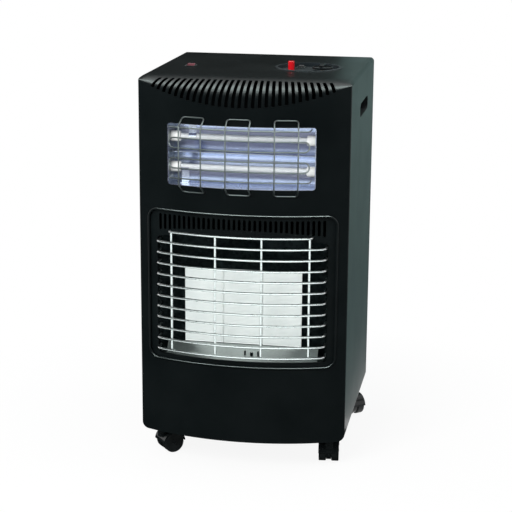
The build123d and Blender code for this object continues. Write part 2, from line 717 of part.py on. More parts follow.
def cover_screws():
    """Two thumb screws whose heads lie on the rear cover."""
    screws = []
    for x, z in screw_positions():
        shank = rod_along_y(SCREW_SHANK / 2, SIDE_DEPTH - SCREW_SHANK_REACH, COVER_BACK_Y, x, z)
        head = rod_along_y(SCREW_HEAD / 2, COVER_BACK_Y, COVER_BACK_Y + SCREW_HEAD_HEIGHT, x, z)
        end = COVER_BACK_Y + SCREW_HEAD_HEIGHT
        half = SCREW_SLOT / 2
        floor = end - SCREW_SLOT_DEPTH
        slot = box_between(x - half, x + half, floor, end + PAST, z - SCREW_HEAD, z + SCREW_HEAD)
        screws.append(shank + head - slot)
    return screws


def grip_cup():
    """The moulded cup behind the right hand hole."""
    face = HALF_WIDTH - SHEET
    bottom = face - CUP_DEPTH
    flange = hand_hole(face - CUP_WALL, face, CUP_FLANGE)
    shell = hand_hole(bottom - CUP_WALL, face, CUP_WALL) - hand_hole(bottom, face + SHEET)
    return flange - hand_hole(bottom, face + SHEET) + shell


def casing_screws():
    """Screws through the side panels' rear flanges into the rear rail, heads outside."""
    screws = []
    x = HALF_WIDTH - SHEET - FLANGE / 2
    for z in (COVER_TOP + FLANGE, BODY_TOP - 2 * FLANGE):
        head = rod_along_y(CASING_SCREW_HEAD / 2, SIDE_DEPTH, SIDE_DEPTH + CASING_SCREW_HEIGHT, x, z)
        head = chamfer(head.edges().filter_by(GeomType.CIRCLE).sort_by(Axis.Y)[-1:], CASING_SCREW_HEIGHT / 2)
        screws.append(head)
        screws.append(mirror_x(head))
    return screws


# ---- Radiant section
def mouth_face(grow=0.0):
    """The burner opening seen from the front, its top edge a shallow arch."""
    half = MOUTH_WIDTH / 2 + grow
    low = MOUTH_BOTTOM - grow
    side = MOUTH_SIDE_TOP + grow
    edges = [
        Polyline((-half, side), (-half, low), (half, low), (half, side)),
        ThreePointArc((half, side), (0, MOUTH_TOP + grow), (-half, side)),
    ]
    face = make_face(edges)
    return fillet(face.vertices(), MOUTH_CORNER)


def arch_z(x):
    """Height of the arched top edge of the burner opening at x."""
    half = MOUTH_WIDTH / 2
    radius = (half**2 + MOUTH_ARCH**2) / (2 * MOUTH_ARCH)
    return MOUTH_TOP - radius + sqrt(radius**2 - min(abs(x), half) ** 2)


def radiant_surround():
    """The pressed frame round the burner: raised lip, sunk field, louvres and mouth."""
    middle = SURROUND_BOTTOM + SURROUND_HEIGHT / 2
    outer = rounded(SURROUND_WIDTH, SURROUND_HEIGHT, SURROUND_CORNER)
    inner = rounded(
        SURROUND_WIDTH - 2 * SURROUND_LIP, SURROUND_HEIGHT - 2 * SURROUND_LIP, SURROUND_CORNER - SURROUND_LIP
    )
    inset = SURROUND_LAP + SURROUND_FIT
    body = rounded(SURROUND_WIDTH - 2 * inset, SURROUND_HEIGHT - 2 * inset, SURROUND_CORNER - inset)
    depth = SURROUND_SINK + SURROUND_THICKNESS
    lip = bowed(outer - inner, 0, SURROUND_PROUD, 0, middle)
    wall = bowed(body - inner, -depth, SURROUND_PROUD / 2, 0, middle)
    field = bowed(body, -depth, -SURROUND_SINK, 0, middle)
    frame = lip + wall + field
    ahead = BOW_APEX_Y - FLANGE
    frame = frame - front_slab(mouth_face(), ahead, FRONT_SEAM_Y)
    slots = []
    for number in range(LOUVRE_COUNT):
        x = (number - (LOUVRE_COUNT - 1) / 2) * LOUVRE_PITCH
        low = arch_z(x) + LOUVRE_SHELF
        slot = Rot(0, 0, 90) * stadium(LOUVRE_TOP - low, LOUVRE_WIDTH)
        slots.append(front_slab(slot, ahead, FRONT_SEAM_Y, x, (LOUVRE_TOP + low) / 2))
    return frame - slots


def burner_row(grow):
    """The outline of the three plaques together, seen from the front."""
    return Rectangle(PLAQUE_ROW + 2 * grow, PLAQUE_HEIGHT + 2 * grow)


def burner_pan():
    """The steel pan that forms the walls and back of the burner recess."""
    wall = PAN_MARGIN + SHEET
    back = PAN_BACK_Y + SHEET
    outside = front_slab(mouth_face(wall), BOW_APEX_Y, back)
    inside = front_slab(mouth_face(PAN_MARGIN), BOW_APEX_Y - SHEET, PAN_BACK_Y)
    depth = SURROUND_SINK + SURROUND_THICKNESS
    pan = (outside - inside) & bow_drum(BOW_RADIUS - depth)
    return pan - front_slab(burner_row(PLAQUE_FIT), BOW_APEX_Y, back + SHEET, 0, PLAQUE_MIDDLE_Z)


def plaques():
    """The three ceramic plaques, from left to right."""
    row = []
    for number in range(PLAQUE_COUNT):
        x = (number - (PLAQUE_COUNT - 1) / 2) * (PLAQUE_WIDTH + PLAQUE_JOINT)
        face = Rectangle(PLAQUE_WIDTH, PLAQUE_HEIGHT)
        back_y = PLAQUE_FACE_Y + PLAQUE_THICKNESS
        row.append(front_slab(face, PLAQUE_FACE_Y, back_y, x, PLAQUE_MIDDLE_Z))
    return row


def burner_plenum():
    """The gas-air box behind the plaques, with the venturi's collar at its back."""
    middle = PLAQUE_MIDDLE_Z
    box = front_slab(burner_row(PLENUM_RIM), PLENUM_FRONT_Y, PLENUM_BACK_Y, 0, middle)
    seat_y = PLAQUE_FACE_Y + PLAQUE_THICKNESS
    pocket = front_slab(burner_row(PLAQUE_FIT), PLENUM_FRONT_Y - SHEET, seat_y, 0, middle)
    chamber = front_slab(burner_row(-PLENUM_RIM), seat_y - SHEET, PLENUM_BACK_Y - PLENUM_WALL, 0, middle)
    inlet = rod_along_y(VENTURI_BORE / 2, seat_y, PLENUM_BACK_Y + SHEET, 0, VENTURI_ELBOW_Z)
    return box - pocket - chamber - inlet


def venturi_tube():
    """The mixing tube: a flared mouth below, an elbow into the back of the plenum above."""
    bend = VENTURI_Y - PLENUM_BACK_Y
    corner_z = VENTURI_ELBOW_Z - bend
    outer_radius = VENTURI_BORE / 2 + VENTURI_WALL
    tube = upright(Circle(outer_radius), VENTURI_MOUTH_Z, corner_z, 0, VENTURI_Y)
    bore = upright(Circle(VENTURI_BORE / 2), VENTURI_MOUTH_Z - SHEET, corner_z, 0, VENTURI_Y)
    ring = Pos(0, VENTURI_Y, corner_z) * (Circle(outer_radius) - Circle(VENTURI_BORE / 2))
    hinge_line = Axis((0, PLENUM_BACK_Y, corner_z), (1, 0, 0))
    elbow = revolve(ring, axis=hinge_line, revolution_arc=90)
    flare = Pos(0, VENTURI_Y, VENTURI_MOUTH_Z + VENTURI_FLARE_HEIGHT / 2) * (
        Cone(outer_radius + VENTURI_FLARE, outer_radius, VENTURI_FLARE_HEIGHT)
        - Cone(VENTURI_BORE / 2 + VENTURI_FLARE, VENTURI_BORE / 2, VENTURI_FLARE_HEIGHT)
    )
    return (tube - bore) + elbow + flare


def injector_seat_z():
    """The top of the tab that the injector's hexagon rests on."""
    return VENTURI_MOUTH_Z - INJECTOR_TIP_GAP - INJECTOR_LENGTH / 2


def injector():
    """The brass jet below the venturi, seated in the partition's tab."""
    seat = injector_seat_z()
    bottom = seat - INJECTOR_LENGTH / 2
    top = seat + INJECTOR_LENGTH / 2
    body = upright(Circle(INJECTOR_DIAMETER / 2), bottom, top, 0, VENTURI_Y)
    flats = RegularPolygon(INJECTOR_HEX / 2, 6, major_radius=False)
    hexagon = upright(flats, seat, seat + INJECTOR_HEX_HEIGHT, 0, VENTURI_Y)
    bore = upright(Circle(INJECTOR_BORE / 2), bottom - SHEET, top + SHEET, 0, VENTURI_Y)
    return body + hexagon - bore


def gas_pipe():
    """The pipe from the valve, through the partition and down to the injector."""
    start = POD_Y - VALVE_DEPTH / 2
    low = injector_seat_z() - INJECTOR_LENGTH / 2
    points = [
        (KNOB_X, start, VALVE_MIDDLE_Z),
        (KNOB_X, VENTURI_Y, VALVE_MIDDLE_Z),
        (KNOB_X, VENTURI_Y, PIPE_LOW_Z),
        (0, VENTURI_Y, PIPE_LOW_Z),
        (0, VENTURI_Y, low),
    ]
    path = FilletPolyline(*points, radius=PIPE_BEND)
    profile = Plane(origin=path @ 0, z_dir=path % 0) * (Circle(PIPE / 2) - Circle(PIPE_BORE / 2))
    return sweep(profile, path=path)


def pilot_plate_z():
    """The floor of the burner recess, inside the pan."""
    return MOUTH_BOTTOM - PAN_MARGIN


def pilot_bracket():
    """The small plate on the recess floor that holds the pilot, probe and electrode."""
    floor = pilot_plate_z()
    top = floor + PILOT_PLATE_THICKNESS
    return box_between(
        PILOT_X - PILOT_PLATE_LENGTH / 2, PILOT_X + PILOT_PLATE_LENGTH / 2,
        PILOT_Y - PILOT_PLATE_DEPTH / 2, PILOT_Y + PILOT_PLATE_DEPTH / 2, floor, top,
    )


def pilot_burner():
    """The pilot's hood: a short tube with a slot on the burner side."""
    base = pilot_plate_z() + PILOT_PLATE_THICKNESS
    top = base + PILOT_TUBE_HEIGHT
    tube = upright(Circle(PILOT_TUBE / 2), base, top, PILOT_X, PILOT_Y)
    bore = Circle(PILOT_TUBE / 2 - PILOT_TUBE_WALL)
    bore = upright(bore, base + PILOT_TUBE_FLOOR, top + PAST, PILOT_X, PILOT_Y)
    slot = box_between(
        PILOT_X - PILOT_SLOT / 2, PILOT_X + PILOT_SLOT / 2,
        PILOT_Y, PILOT_Y + PILOT_TUBE, base + PILOT_SLOT_SILL, top + PAST,
    )
    return tube - bore - slot


def probe(x):
    """A thin upright probe with a round tip, standing on the pilot bracket."""
    base = pilot_plate_z() + PILOT_PLATE_THICKNESS
    tip_z = base + PROBE_HEIGHT - PROBE / 2
    collar = upright(Circle(PROBE_COLLAR / 2), base, base + PROBE_COLLAR_HEIGHT, x, PILOT_Y)
    pin = upright(Circle(PROBE / 2), base, tip_z, x, PILOT_Y)
    return collar + pin + Pos(x, PILOT_Y, tip_z) * Sphere(PROBE / 2)


def rod_end_points(height, half_span, return_y):
    """The path of one bowed rod whose ends turn back into the recess."""
    radius = ROD_RADIUS
    centre_y = BOW_APEX_Y - ROD_STANDOFF - ROD / 2 + ROD_RADIUS
    bend = ROD_BEND
    bend_x = half_span - bend
    bend_y = centre_y - sqrt((radius - bend) ** 2 - bend_x**2)
    lean = asin(bend_x / (radius - bend))
    touch = (radius * sin(lean), centre_y - radius * cos(lean))
    halfway = (radians(90) - lean) / 2
    knee = (bend_x + bend * sin(lean + halfway), bend_y - bend * cos(lean + halfway))
    side = (half_span, bend_y)
    left = [(-point[0], point[1], height) for point in ((half_span, return_y), side, knee, touch)]
    right = [(point[0], point[1], height) for point in (touch, knee, side, (half_span, return_y))]
    apex = (0, centre_y - radius, height)
    return left, apex, right


def bowed_rod(height, half_span, return_y):
    """One horizontal rod of the burner guard."""
    left, apex, right = rod_end_points(height, half_span, return_y)
    edges = [
        Line(left[0], left[1]),
        ThreePointArc(left[1], left[2], left[3]),
        ThreePointArc(left[3], apex, right[0]),
        ThreePointArc(right[0], right[1], right[2]),
        Line(right[2], right[3]),
    ]
    path = Wire([edge.edge() for edge in edges])
    profile = Plane(origin=left[0], z_dir=(0, -1, 0)) * Circle(ROD / 2)
    return sweep(profile, path=path)


def radiant_guard():
    """The welded guard: bowed rods, four uprights behind them and a strap at each side."""
    top_z = ROD_BOTTOM + ROD_COUNT * ROD_SPACING
    centre_y = BOW_APEX_Y - ROD_STANDOFF - ROD / 2 + ROD_RADIUS
    pieces = []
    for number in range(ROD_COUNT):
        pieces.append(bowed_rod(ROD_BOTTOM + number * ROD_SPACING, ROD_HALF_SPAN, ROD_RETURN_Y))
    field_y = bow_y(TOP_ROD_HALF_SPAN - ROD / 2, BOW_RADIUS - SURROUND_SINK)
    pieces.append(bowed_rod(top_z, TOP_ROD_HALF_SPAN, field_y - ROD_END_GAP))
    for number in range(UPRIGHT_COUNT):
        x = (number - (UPRIGHT_COUNT - 1) / 2) * UPRIGHT_PITCH
        y = centre_y - sqrt((ROD_RADIUS - ROD + UPRIGHT_LAP) ** 2 - x**2)
        pieces.append(upright(Circle(ROD / 2), ROD_BOTTOM, top_z, x, y))
    low = ROD_BOTTOM - ROD / 2
    high = top_z - ROD_SPACING + ROD / 2
    strap = box_between(
        STRAP_X, STRAP_X + STRAP_THICKNESS, ROD_RETURN_Y - STRAP_WIDTH, ROD_RETURN_Y, low, high
    )
    pieces = pieces + [strap, mirror_x(strap)]
    return pieces[0].fuse(*pieces[1:])


# ---- Electric section
def trough_face(grow):
    """Two troughs in side view, open to the front."""
    radius = TROUGH_PITCH / 2 + grow
    front = BOW_APEX_Y
    shape = Sketch()
    for step in (-0.5, 0.5):
        shape = shape + Pos(TROUGH_AXIS_Y, step * TROUGH_PITCH) * Circle(radius)
    depth = TROUGH_AXIS_Y - front
    mouth = Pos(TROUGH_AXIS_Y - depth / 2, 0) * Rectangle(depth, TROUGH_HEIGHT + 2 * grow)
    return shape + mouth


def reflector_half():
    """Half the length of the reflector between its end plates."""
    return TROUGH_WIDTH / 2 - TROUGH_END_INSET


def electric_reflector():
    """The polished double trough behind the quartz tubes."""
    half = reflector_half()
    outer = side_slab(trough_face(0), -half, half, 0, TROUGH_Z)
    inner = side_slab(trough_face(-REFLECTOR_SHEET), -half - SHEET, half + SHEET, 0, TROUGH_Z)
    ridge_face = Pos(TROUGH_AXIS_Y - TROUGH_RIDGE / 4, 0) * Rectangle(TROUGH_RIDGE / 2, 2 * REFLECTOR_SHEET)
    ridge = side_slab(ridge_face, -half, half, 0, TROUGH_Z)
    trough = (outer - inner + ridge) & bow_drum(BOW_RADIUS - SHEET)
    rim = Rectangle(TROUGH_WIDTH + 2 * REFLECTOR_FLANGE, TROUGH_HEIGHT + 2 * REFLECTOR_FLANGE)
    rim = rim - Rectangle(2 * half, TROUGH_HEIGHT - 2 * REFLECTOR_SHEET)
    return trough + bowed(rim, -SHEET - REFLECTOR_SHEET, -SHEET, 0, TROUGH_Z)


def tube_heights():
    """Heights of the lower and the upper quartz tube."""
    return [TROUGH_Z - TROUGH_PITCH / 2, TROUGH_Z + TROUGH_PITCH / 2]


def end_plates():
    """The two plates that close the troughs and hold the tubes' end caps."""
    half = reflector_half()
    plate = side_slab(trough_face(0), half, half + END_PLATE_SHEET, 0, TROUGH_Z)
    plate = plate & bow_drum(BOW_RADIUS - SHEET - REFLECTOR_SHEET)
    hole_radius = END_CAP_SPIGOT / 2 + TUBE_FIT
    for centre_z in tube_heights():
        plate = plate - rod_along_x(hole_radius, half - SHEET, half + 2 * SHEET, TROUGH_AXIS_Y, centre_z)
    return [plate, mirror_x(plate)]


def quartz_tube(centre_z):
    """One milky quartz tube, held in its end caps."""
    half = reflector_half() - END_CAP_LENGTH + TUBE_SOCKET
    ring = Circle(TUBE / 2) - Circle(TUBE / 2 - TUBE_WALL)
    return side_slab(ring, -half, half, TROUGH_AXIS_Y, centre_z)


def heating_coils():
    """The wound heating element inside each tube, as its outer form."""
    half = reflector_half() - END_CAP_LENGTH + TUBE_SOCKET
    coils = []
    for centre_z in tube_heights():
        coils.append(rod_along_x(COIL / 2, -half, half, TROUGH_AXIS_Y, centre_z))
    return coils


def end_caps():
    """Four ceramic caps, each with a spigot through its end plate."""
    half = reflector_half()
    caps = []
    for centre_z in tube_heights():
        cap = rod_along_x(END_CAP / 2, half - END_CAP_LENGTH, half, TROUGH_AXIS_Y, centre_z)
        cap = fillet(cap.edges().filter_by(GeomType.CIRCLE).sort_by(Axis.X)[:1], END_CAP_EDGE)
        spigot_end = half + END_CAP_SPIGOT_LENGTH
        spigot = rod_along_x(END_CAP_SPIGOT / 2, half, spigot_end, TROUGH_AXIS_Y, centre_z)
        inner_end = half - END_CAP_LENGTH
        socket_radius = TUBE / 2 + TUBE_FIT
        socket_end = inner_end + TUBE_SOCKET
        socket = rod_along_x(socket_radius, inner_end - PAST, socket_end, TROUGH_AXIS_Y, centre_z)
        cap = cap + spigot - socket
        caps.append(cap)
        caps.append(mirror_x(cap))
    return caps


def tube_clip(centre_z, x, side):
    """A strip from the trough's outer wall that cradles its tube; side is +1 above, -1 below."""
    inner = TUBE / 2 + TUBE_FIT
    outer = inner + CLIP_SHEET
    wall = TROUGH_PITCH / 2 - REFLECTOR_SHEET
    ring = Circle(outer) - Circle(inner)
    saddle = ring & (Pos(0, side * outer / 2) * Rectangle(2 * outer, outer))
    leg = Pos(-CLIP_SHEET, side * (outer + wall - CLIP_SHEET / 2) / 2) * Rectangle(
        CLIP_SHEET * 2, wall - outer + CLIP_SHEET / 2
    )
    foot = Pos(-CLIP_WIDTH / 2, side * (wall - CLIP_SHEET / 2)) * Rectangle(CLIP_WIDTH, CLIP_SHEET)
    return side_slab(saddle + leg + foot, x - CLIP_WIDTH / 2, x + CLIP_WIDTH / 2, TROUGH_AXIS_Y, centre_z)


def tube_clips():
    """The clip of the upper tube and the clip of the lower one."""
    low, high = tube_heights()
    return [tube_clip(high, UPPER_CLIP_X, 1), tube_clip(low, LOWER_CLIP_X, -1)]


def guard_loop():
    """One closed wire loop whose slanted ends bring its top and bottom bars onto the front panel."""
    half = LOOP_WIDTH / 2
    front = -BOW_RADIUS - LOOP_STANDOFF
    back = -BOW_RADIUS - WIRE / 2 - LOOP_SEAT
    low = LOOP_BOTTOM_Z + LOOP_SLANT
    high = LOOP_TOP_Z - LOOP_SLANT
    points = [
        (-half, front, low), (-half, front, high), (-half, back, LOOP_TOP_Z), (half, back, LOOP_TOP_Z),
        (half, front, high), (half, front, low), (half, back, LOOP_BOTTOM_Z), (-half, back, LOOP_BOTTOM_Z),
    ]
    path = FilletPolyline(*points, radius=LOOP_CORNER, close=True)
    profile = Plane(origin=path @ 0, z_dir=path % 0) * Circle(WIRE / 2)
    return sweep(profile, path=path)


def guard_wire_ends(z0, z1):
    """A flat loop of wire along the bow: two bowed runs joined by a round end at each side."""
    radius = GUARD_WIRE_RADIUS
    bend = (z1 - z0) / 2
    half = GUARD_HALF_SPAN - bend
    lean = asin(half / radius)
    end = (half, BOW_CENTRE_Y - radius * cos(lean))
    reach = (end[0] + bend * cos(lean), end[1] + bend * sin(lean))
    apex = BOW_CENTRE_Y - radius
    middle = (z0 + z1) / 2
    edges = [
        ThreePointArc((-end[0], end[1], z0), (0, apex, z0), (end[0], end[1], z0)),
        ThreePointArc((end[0], end[1], z0), (reach[0], reach[1], middle), (end[0], end[1], z1)),
        ThreePointArc((end[0], end[1], z1), (0, apex, z1), (-end[0], end[1], z1)),
        ThreePointArc((-end[0], end[1], z1), (-reach[0], reach[1], middle), (-end[0], end[1], z0)),
    ]
    path = Wire([edge.edge() for edge in edges])
    profile = Plane(origin=path @ 0, z_dir=path % 0) * Circle(WIRE / 2)
    return sweep(profile, path=path)


def guard_end_wire(z):
    """The topmost or lowest wire, whose ends turn back and end behind the front panel's face."""
    radius = GUARD_WIRE_RADIUS
    bend = GUARD_END_BEND
    bend_x = GUARD_HALF_SPAN - bend
    bend_y = BOW_CENTRE_Y - sqrt((radius - bend) ** 2 - bend_x**2)
    lean = asin(bend_x / (radius - bend))
    touch = (radius * sin(lean), BOW_CENTRE_Y - radius * cos(lean))
    halfway = (radians(90) - lean) / 2
    knee = (bend_x + bend * sin(lean + halfway), bend_y - bend * cos(lean + halfway))
    side = (GUARD_HALF_SPAN, bend_y)
    back = (GUARD_HALF_SPAN, bow_y(GUARD_HALF_SPAN, BOW_RADIUS) + GUARD_END_BEND)
    edges = [
        Line((-back[0], back[1], z), (-side[0], side[1], z)),
        ThreePointArc((-side[0], side[1], z), (-knee[0], knee[1], z), (-touch[0], touch[1], z)),
        ThreePointArc((-touch[0], touch[1], z), (0, BOW_CENTRE_Y - radius, z), (touch[0], touch[1], z)),
        ThreePointArc((touch[0], touch[1], z), (knee[0], knee[1], z), (side[0], side[1], z)),
        Line((side[0], side[1], z), (back[0], back[1], z)),
    ]
    path = Wire([edge.edge() for edge in edges])
    profile = Plane(origin=(-back[0], back[1], z), z_dir=(0, -1, 0)) * Circle(WIRE / 2)
    return sweep(profile, path=path)


def electric_guard():
    """The wire guard of the quartz tubes: three loops over six bowed wires."""
    heights = [GUARD_WIRE_BOTTOM + number * GUARD_WIRE_PITCH for number in range(GUARD_WIRE_COUNT)]
    pieces = [guard_end_wire(heights[0]), guard_end_wire(heights[-1])]
    for number in range(1, GUARD_WIRE_COUNT - 1, 2):
        pieces.append(guard_wire_ends(heights[number], heights[number + 1]))
    for number in range(LOOP_COUNT):
        offset = (number - (LOOP_COUNT - 1) / 2) * LOOP_PITCH
        angle = degrees(asin(offset / BOW_RADIUS))
        pieces.append(Pos(0, BOW_CENTRE_Y, 0) * Rot(0, 0, angle) * guard_loop())
    return pieces[0].fuse(*pieces[1:])


# ---- Controls
def control_pod():
    """The round dish in the top panel, with a soft rim and holes for its controls."""
    radius = POD_DIAMETER / 2
    rim = upright(Circle(radius + POD_RIM), BODY_TOP, BODY_TOP + POD_RIM_HEIGHT, POD_X, POD_Y)
    rim = fillet(rim.edges().group_by(Axis.Z)[-1], POD_RIM_HEIGHT / 2)
    wall = upright(Circle(radius), POD_UNDER_Z, BODY_TOP + POD_RIM_HEIGHT / 2, POD_X, POD_Y)
    dish = upright(Circle(radius - POD_WALL), POD_FLOOR_Z, BODY_TOP + 2 * POD_RIM_HEIGHT, POD_X, POD_Y)
    pod = rim + wall - dish
    through = BODY_TOP + POD_RIM
    pod = pod - upright(Circle(SPINDLE / 2 + POD_RIM_HEIGHT), VALVE_TOP_Z, through, KNOB_X, POD_Y)
    pod = pod - upright(Circle(IGNITION_DIAMETER / 2 + IGNITION_FIT), VALVE_TOP_Z, through, IGNITION_X, POD_Y)
    cut = Rectangle(
        SELECTOR_WIDTH + 2 * (ROCKER_SIDE_GAP + SWITCH_WALL + POD_FIT),
        ROCKER_LENGTH + 2 * (ROCKER_END_GAP + SWITCH_WALL + POD_FIT),
    )
    return pod - upright(cut, VALVE_TOP_Z, through, SELECTOR_X, SELECTOR_Y)


def valve_spindle():
    """The spindle that the gas knob turns on and pushes down."""
    return upright(Circle(SPINDLE / 2), SPINDLE_BOTTOM_Z, SPINDLE_TOP_Z, KNOB_X, POD_Y)


def gas_knob():
    """The control knob: a low skirt under a straight grip bar, with a hollow on each side."""
    skirt = upright(Circle(KNOB_DIAMETER / 2), KNOB_SKIRT_Z, SPINDLE_TOP_Z)
    skirt = fillet(skirt.edges().group_by(Axis.Z)[-1], KNOB_EDGE)
    grip_face = Rot(0, 0, 90) * stadium(KNOB_GRIP_LENGTH, KNOB_GRIP_WIDTH)
    grip = upright(grip_face, KNOB_SKIRT_Z + KNOB_SKIRT_HEIGHT / 2, KNOB_TOP_Z)
    grip = fillet(grip.edges().group_by(Axis.Z)[-1], KNOB_EDGE)
    hollow = upright(Circle(KNOB_DIAMETER / 2 - KNOB_RIM), SPINDLE_TOP_Z - KNOB_HOLLOW, KNOB_TOP_Z + PAST)
    hollow = hollow - upright(Rectangle(KNOB_GRIP_WIDTH, KNOB_DIAMETER), KNOB_SKIRT_Z, KNOB_TOP_Z + PAST)
    knob = skirt - hollow + grip
    bore = upright(Circle(SPINDLE / 2 + SPINDLE_FIT), KNOB_SKIRT_Z - PAST, SPINDLE_TOP_Z + SEAM)
    return Pos(KNOB_X, POD_Y, 0) * (knob - bore)


def ignition_button():
    """The push button on its stem."""
    cap = upright(Circle(IGNITION_DIAMETER / 2), IGNITION_CAP_Z, IGNITION_TOP_Z)
    cap = fillet(cap.edges().group_by(Axis.Z)[-1], IGNITION_EDGE)
    stem = upright(Circle(IGNITION_STEM / 2), IGNITION_CAP_Z - IGNITION_STEM_LENGTH, IGNITION_CAP_Z)
    return Pos(IGNITION_X, POD_Y, 0) * (cap + stem)


def piezo_igniter():
    """The spark generator that hangs under the pod and guides the button's stem."""
    bottom = POD_UNDER_Z - PIEZO_LENGTH
    chamber = POD_UNDER_Z - IGNITION_TRAVEL - STROKE_ROOM
    body = upright(Circle(PIEZO_DIAMETER / 2), bottom, POD_UNDER_Z)
    body = body - upright(Circle(IGNITION_DIAMETER / 2 + IGNITION_FIT), chamber, POD_UNDER_Z + PAST)
    stem_bottom = IGNITION_CAP_Z - IGNITION_STEM_LENGTH - IGNITION_TRAVEL - STROKE_ROOM
    body = body - upright(Circle(IGNITION_STEM / 2 + SPINDLE_FIT), stem_bottom, POD_UNDER_Z)
    terminal = upright(Circle(PIEZO_TERMINAL / 2), bottom - PIEZO_TERMINAL_LENGTH, bottom)
    return Pos(IGNITION_X, POD_Y, 0) * (body + terminal)


def gas_valve():
    """The valve block under the pod, its neck round the spindle."""
    block = box_between(
        KNOB_X - VALVE_LENGTH / 2, KNOB_X + VALVE_LENGTH / 2,
        POD_Y - VALVE_DEPTH / 2, POD_Y + VALVE_DEPTH / 2, VALVE_BOTTOM_Z, VALVE_TOP_Z,
    )
    neck = upright(Circle(VALVE_NECK / 2), VALVE_TOP_Z, POD_UNDER_Z, KNOB_X, POD_Y)
    bore_bottom = SPINDLE_BOTTOM_Z - KNOB_TRAVEL - STROKE_ROOM
    bore = upright(Circle(SPINDLE / 2 + SPINDLE_FIT), bore_bottom, POD_UNDER_Z + PAST, KNOB_X, POD_Y)
    return block + neck - bore


def hose_tail():
    """The barbed brass tail at the back of the valve, where the gas hose pushes on."""
    start = POD_Y + VALVE_DEPTH / 2
    nut_end = start + HOSE_TAIL_HEX_HEIGHT
    nut = front_slab(
        RegularPolygon(HOSE_TAIL_HEX / 2, 6, major_radius=False), start, nut_end, KNOB_X, VALVE_MIDDLE_Z
    )
    tail_end = nut_end + HOSE_TAIL_LENGTH
    tail = rod_along_y(HOSE_TAIL / 2, nut_end, tail_end, KNOB_X, VALVE_MIDDLE_Z)
    bore = rod_along_y(HOSE_TAIL_BORE / 2, start - PAST, tail_end + PAST, KNOB_X, VALVE_MIDDLE_Z)
    return nut + tail - bore


def switch_housing(width, x, y, panel_z):
    """A rocker switch's case: a bezel on the panel and an open box below it."""
    cavity_x = width + 2 * ROCKER_SIDE_GAP
    cavity_y = ROCKER_LENGTH + 2 * ROCKER_END_GAP
    bezel_z = panel_z + SWITCH_BEZEL_HEIGHT
    wall = 2 * SWITCH_WALL
    border = 2 * SWITCH_BEZEL
    case = upright(Rectangle(cavity_x + wall, cavity_y + wall), panel_z - SWITCH_DEPTH, panel_z)
    bezel = upright(rounded(cavity_x + border, cavity_y + border, SWITCH_BEZEL_CORNER), panel_z, bezel_z)
    bezel = chamfer(bezel.edges().group_by(Axis.Z)[-1], SWITCH_BEZEL_EDGE)
    pivot_z = rocker_pivot_z(panel_z)
    floor = pivot_z - ROCKER_BELOW - ROCKER_LENGTH / 2 * sin(radians(ROCKER_TILT)) - ROCKER_END_GAP
    cavity = upright(Rectangle(cavity_x, cavity_y), floor, bezel_z + PAST)
    reach = cavity_x / 2 + ROCKER_PIN_REACH
    pin_hole = rod_along_x(ROCKER_PIN / 2 + SPINDLE_FIT, -reach, reach, 0, pivot_z)
    return Pos(x, y, 0) * (case + bezel - cavity - pin_hole)


def rocker_pivot_z(panel_z):
    """Height of a rocker's pivot."""
    return panel_z + SWITCH_BEZEL_HEIGHT - ROCKER_PIN


def rocker(width, x, y, panel_z):
    """A rocker with its two pivot pins, at rest with its front end pressed."""
    half = ROCKER_LENGTH / 2
    outline = Polyline(
        (-half, -ROCKER_BELOW), (half, -ROCKER_BELOW), (half, ROCKER_END_RISE),
        (0, ROCKER_MIDDLE_RISE), (-half, ROCKER_END_RISE), close=True,
    )
    body = side_slab(make_face(outline.edges()), -width / 2, width / 2)
    reach = width / 2 + ROCKER_SIDE_GAP + ROCKER_PIN_REACH - ROCKER_PIN_PLAY
    pin = rod_along_x(ROCKER_PIN / 2, -reach, reach, 0, 0)
    return Pos(x, y, rocker_pivot_z(panel_z)) * Rot(ROCKER_TILT, 0, 0) * (body + pin)


# ---- Electrical fittings
def terminal_block():
    """The screw terminals on the cool side of the partition."""
    back = SHIELD_Y + SHEET
    block = box_between(
        TERMINAL_X - TERMINAL_LENGTH / 2, TERMINAL_X + TERMINAL_LENGTH / 2,
        back, back + TERMINAL_DEPTH, TERMINAL_Z - TERMINAL_HEIGHT / 2, TERMINAL_Z + TERMINAL_HEIGHT / 2,
    )
    pitch = TERMINAL_LENGTH / TERMINAL_POLES
    face = back + TERMINAL_DEPTH
    for number in range(TERMINAL_POLES):
        x = TERMINAL_X + (number - (TERMINAL_POLES - 1) / 2) * pitch
        screw = rod_along_y(TERMINAL_SCREW / 2, face - TERMINAL_SCREW_DEPTH, face + PAST, x, TERMINAL_Z)
        block = block - screw
    return block


def cord_gland():
    """The gland in the rear rail where the mains cord enters."""
    inside = REAR_FLANGE_Y
    flange = rod_along_y(GLAND_FLANGE / 2, inside, inside + GLAND_FLANGE_THICKNESS, GLAND_X, GLAND_Z)
    nut_front = REAR_FLANGE_Y - SHEET - GLAND_NUT_LENGTH
    body = rod_along_y(GLAND_BODY / 2, nut_front, SIDE_DEPTH + GLAND_REACH, GLAND_X, GLAND_Z)
    nut = rod_along_y(GLAND_FLANGE / 2, nut_front, REAR_FLANGE_Y - SHEET, GLAND_X, GLAND_Z)
    bore_end = SIDE_DEPTH + GLAND_REACH + PAST
    bore = rod_along_y(GLAND_BORE / 2, nut_front - PAST, bore_end, GLAND_X, GLAND_Z)
    return flange + body + nut - bore


# ---- Casters
def caster_spots():
    """Name, place and turn of each caster, seen from the front."""
    return [
        ("front_left", -CASTER_X, CASTER_FRONT_Y, CASTER_FRONT_LEFT_TURN),
        ("front_right", CASTER_X, CASTER_FRONT_Y, CASTER_FRONT_RIGHT_TURN),
        ("rear_left", -CASTER_X, CASTER_REAR_Y, CASTER_REAR_LEFT_TURN),
        ("rear_right", CASTER_X, CASTER_REAR_Y, CASTER_REAR_RIGHT_TURN),
    ]


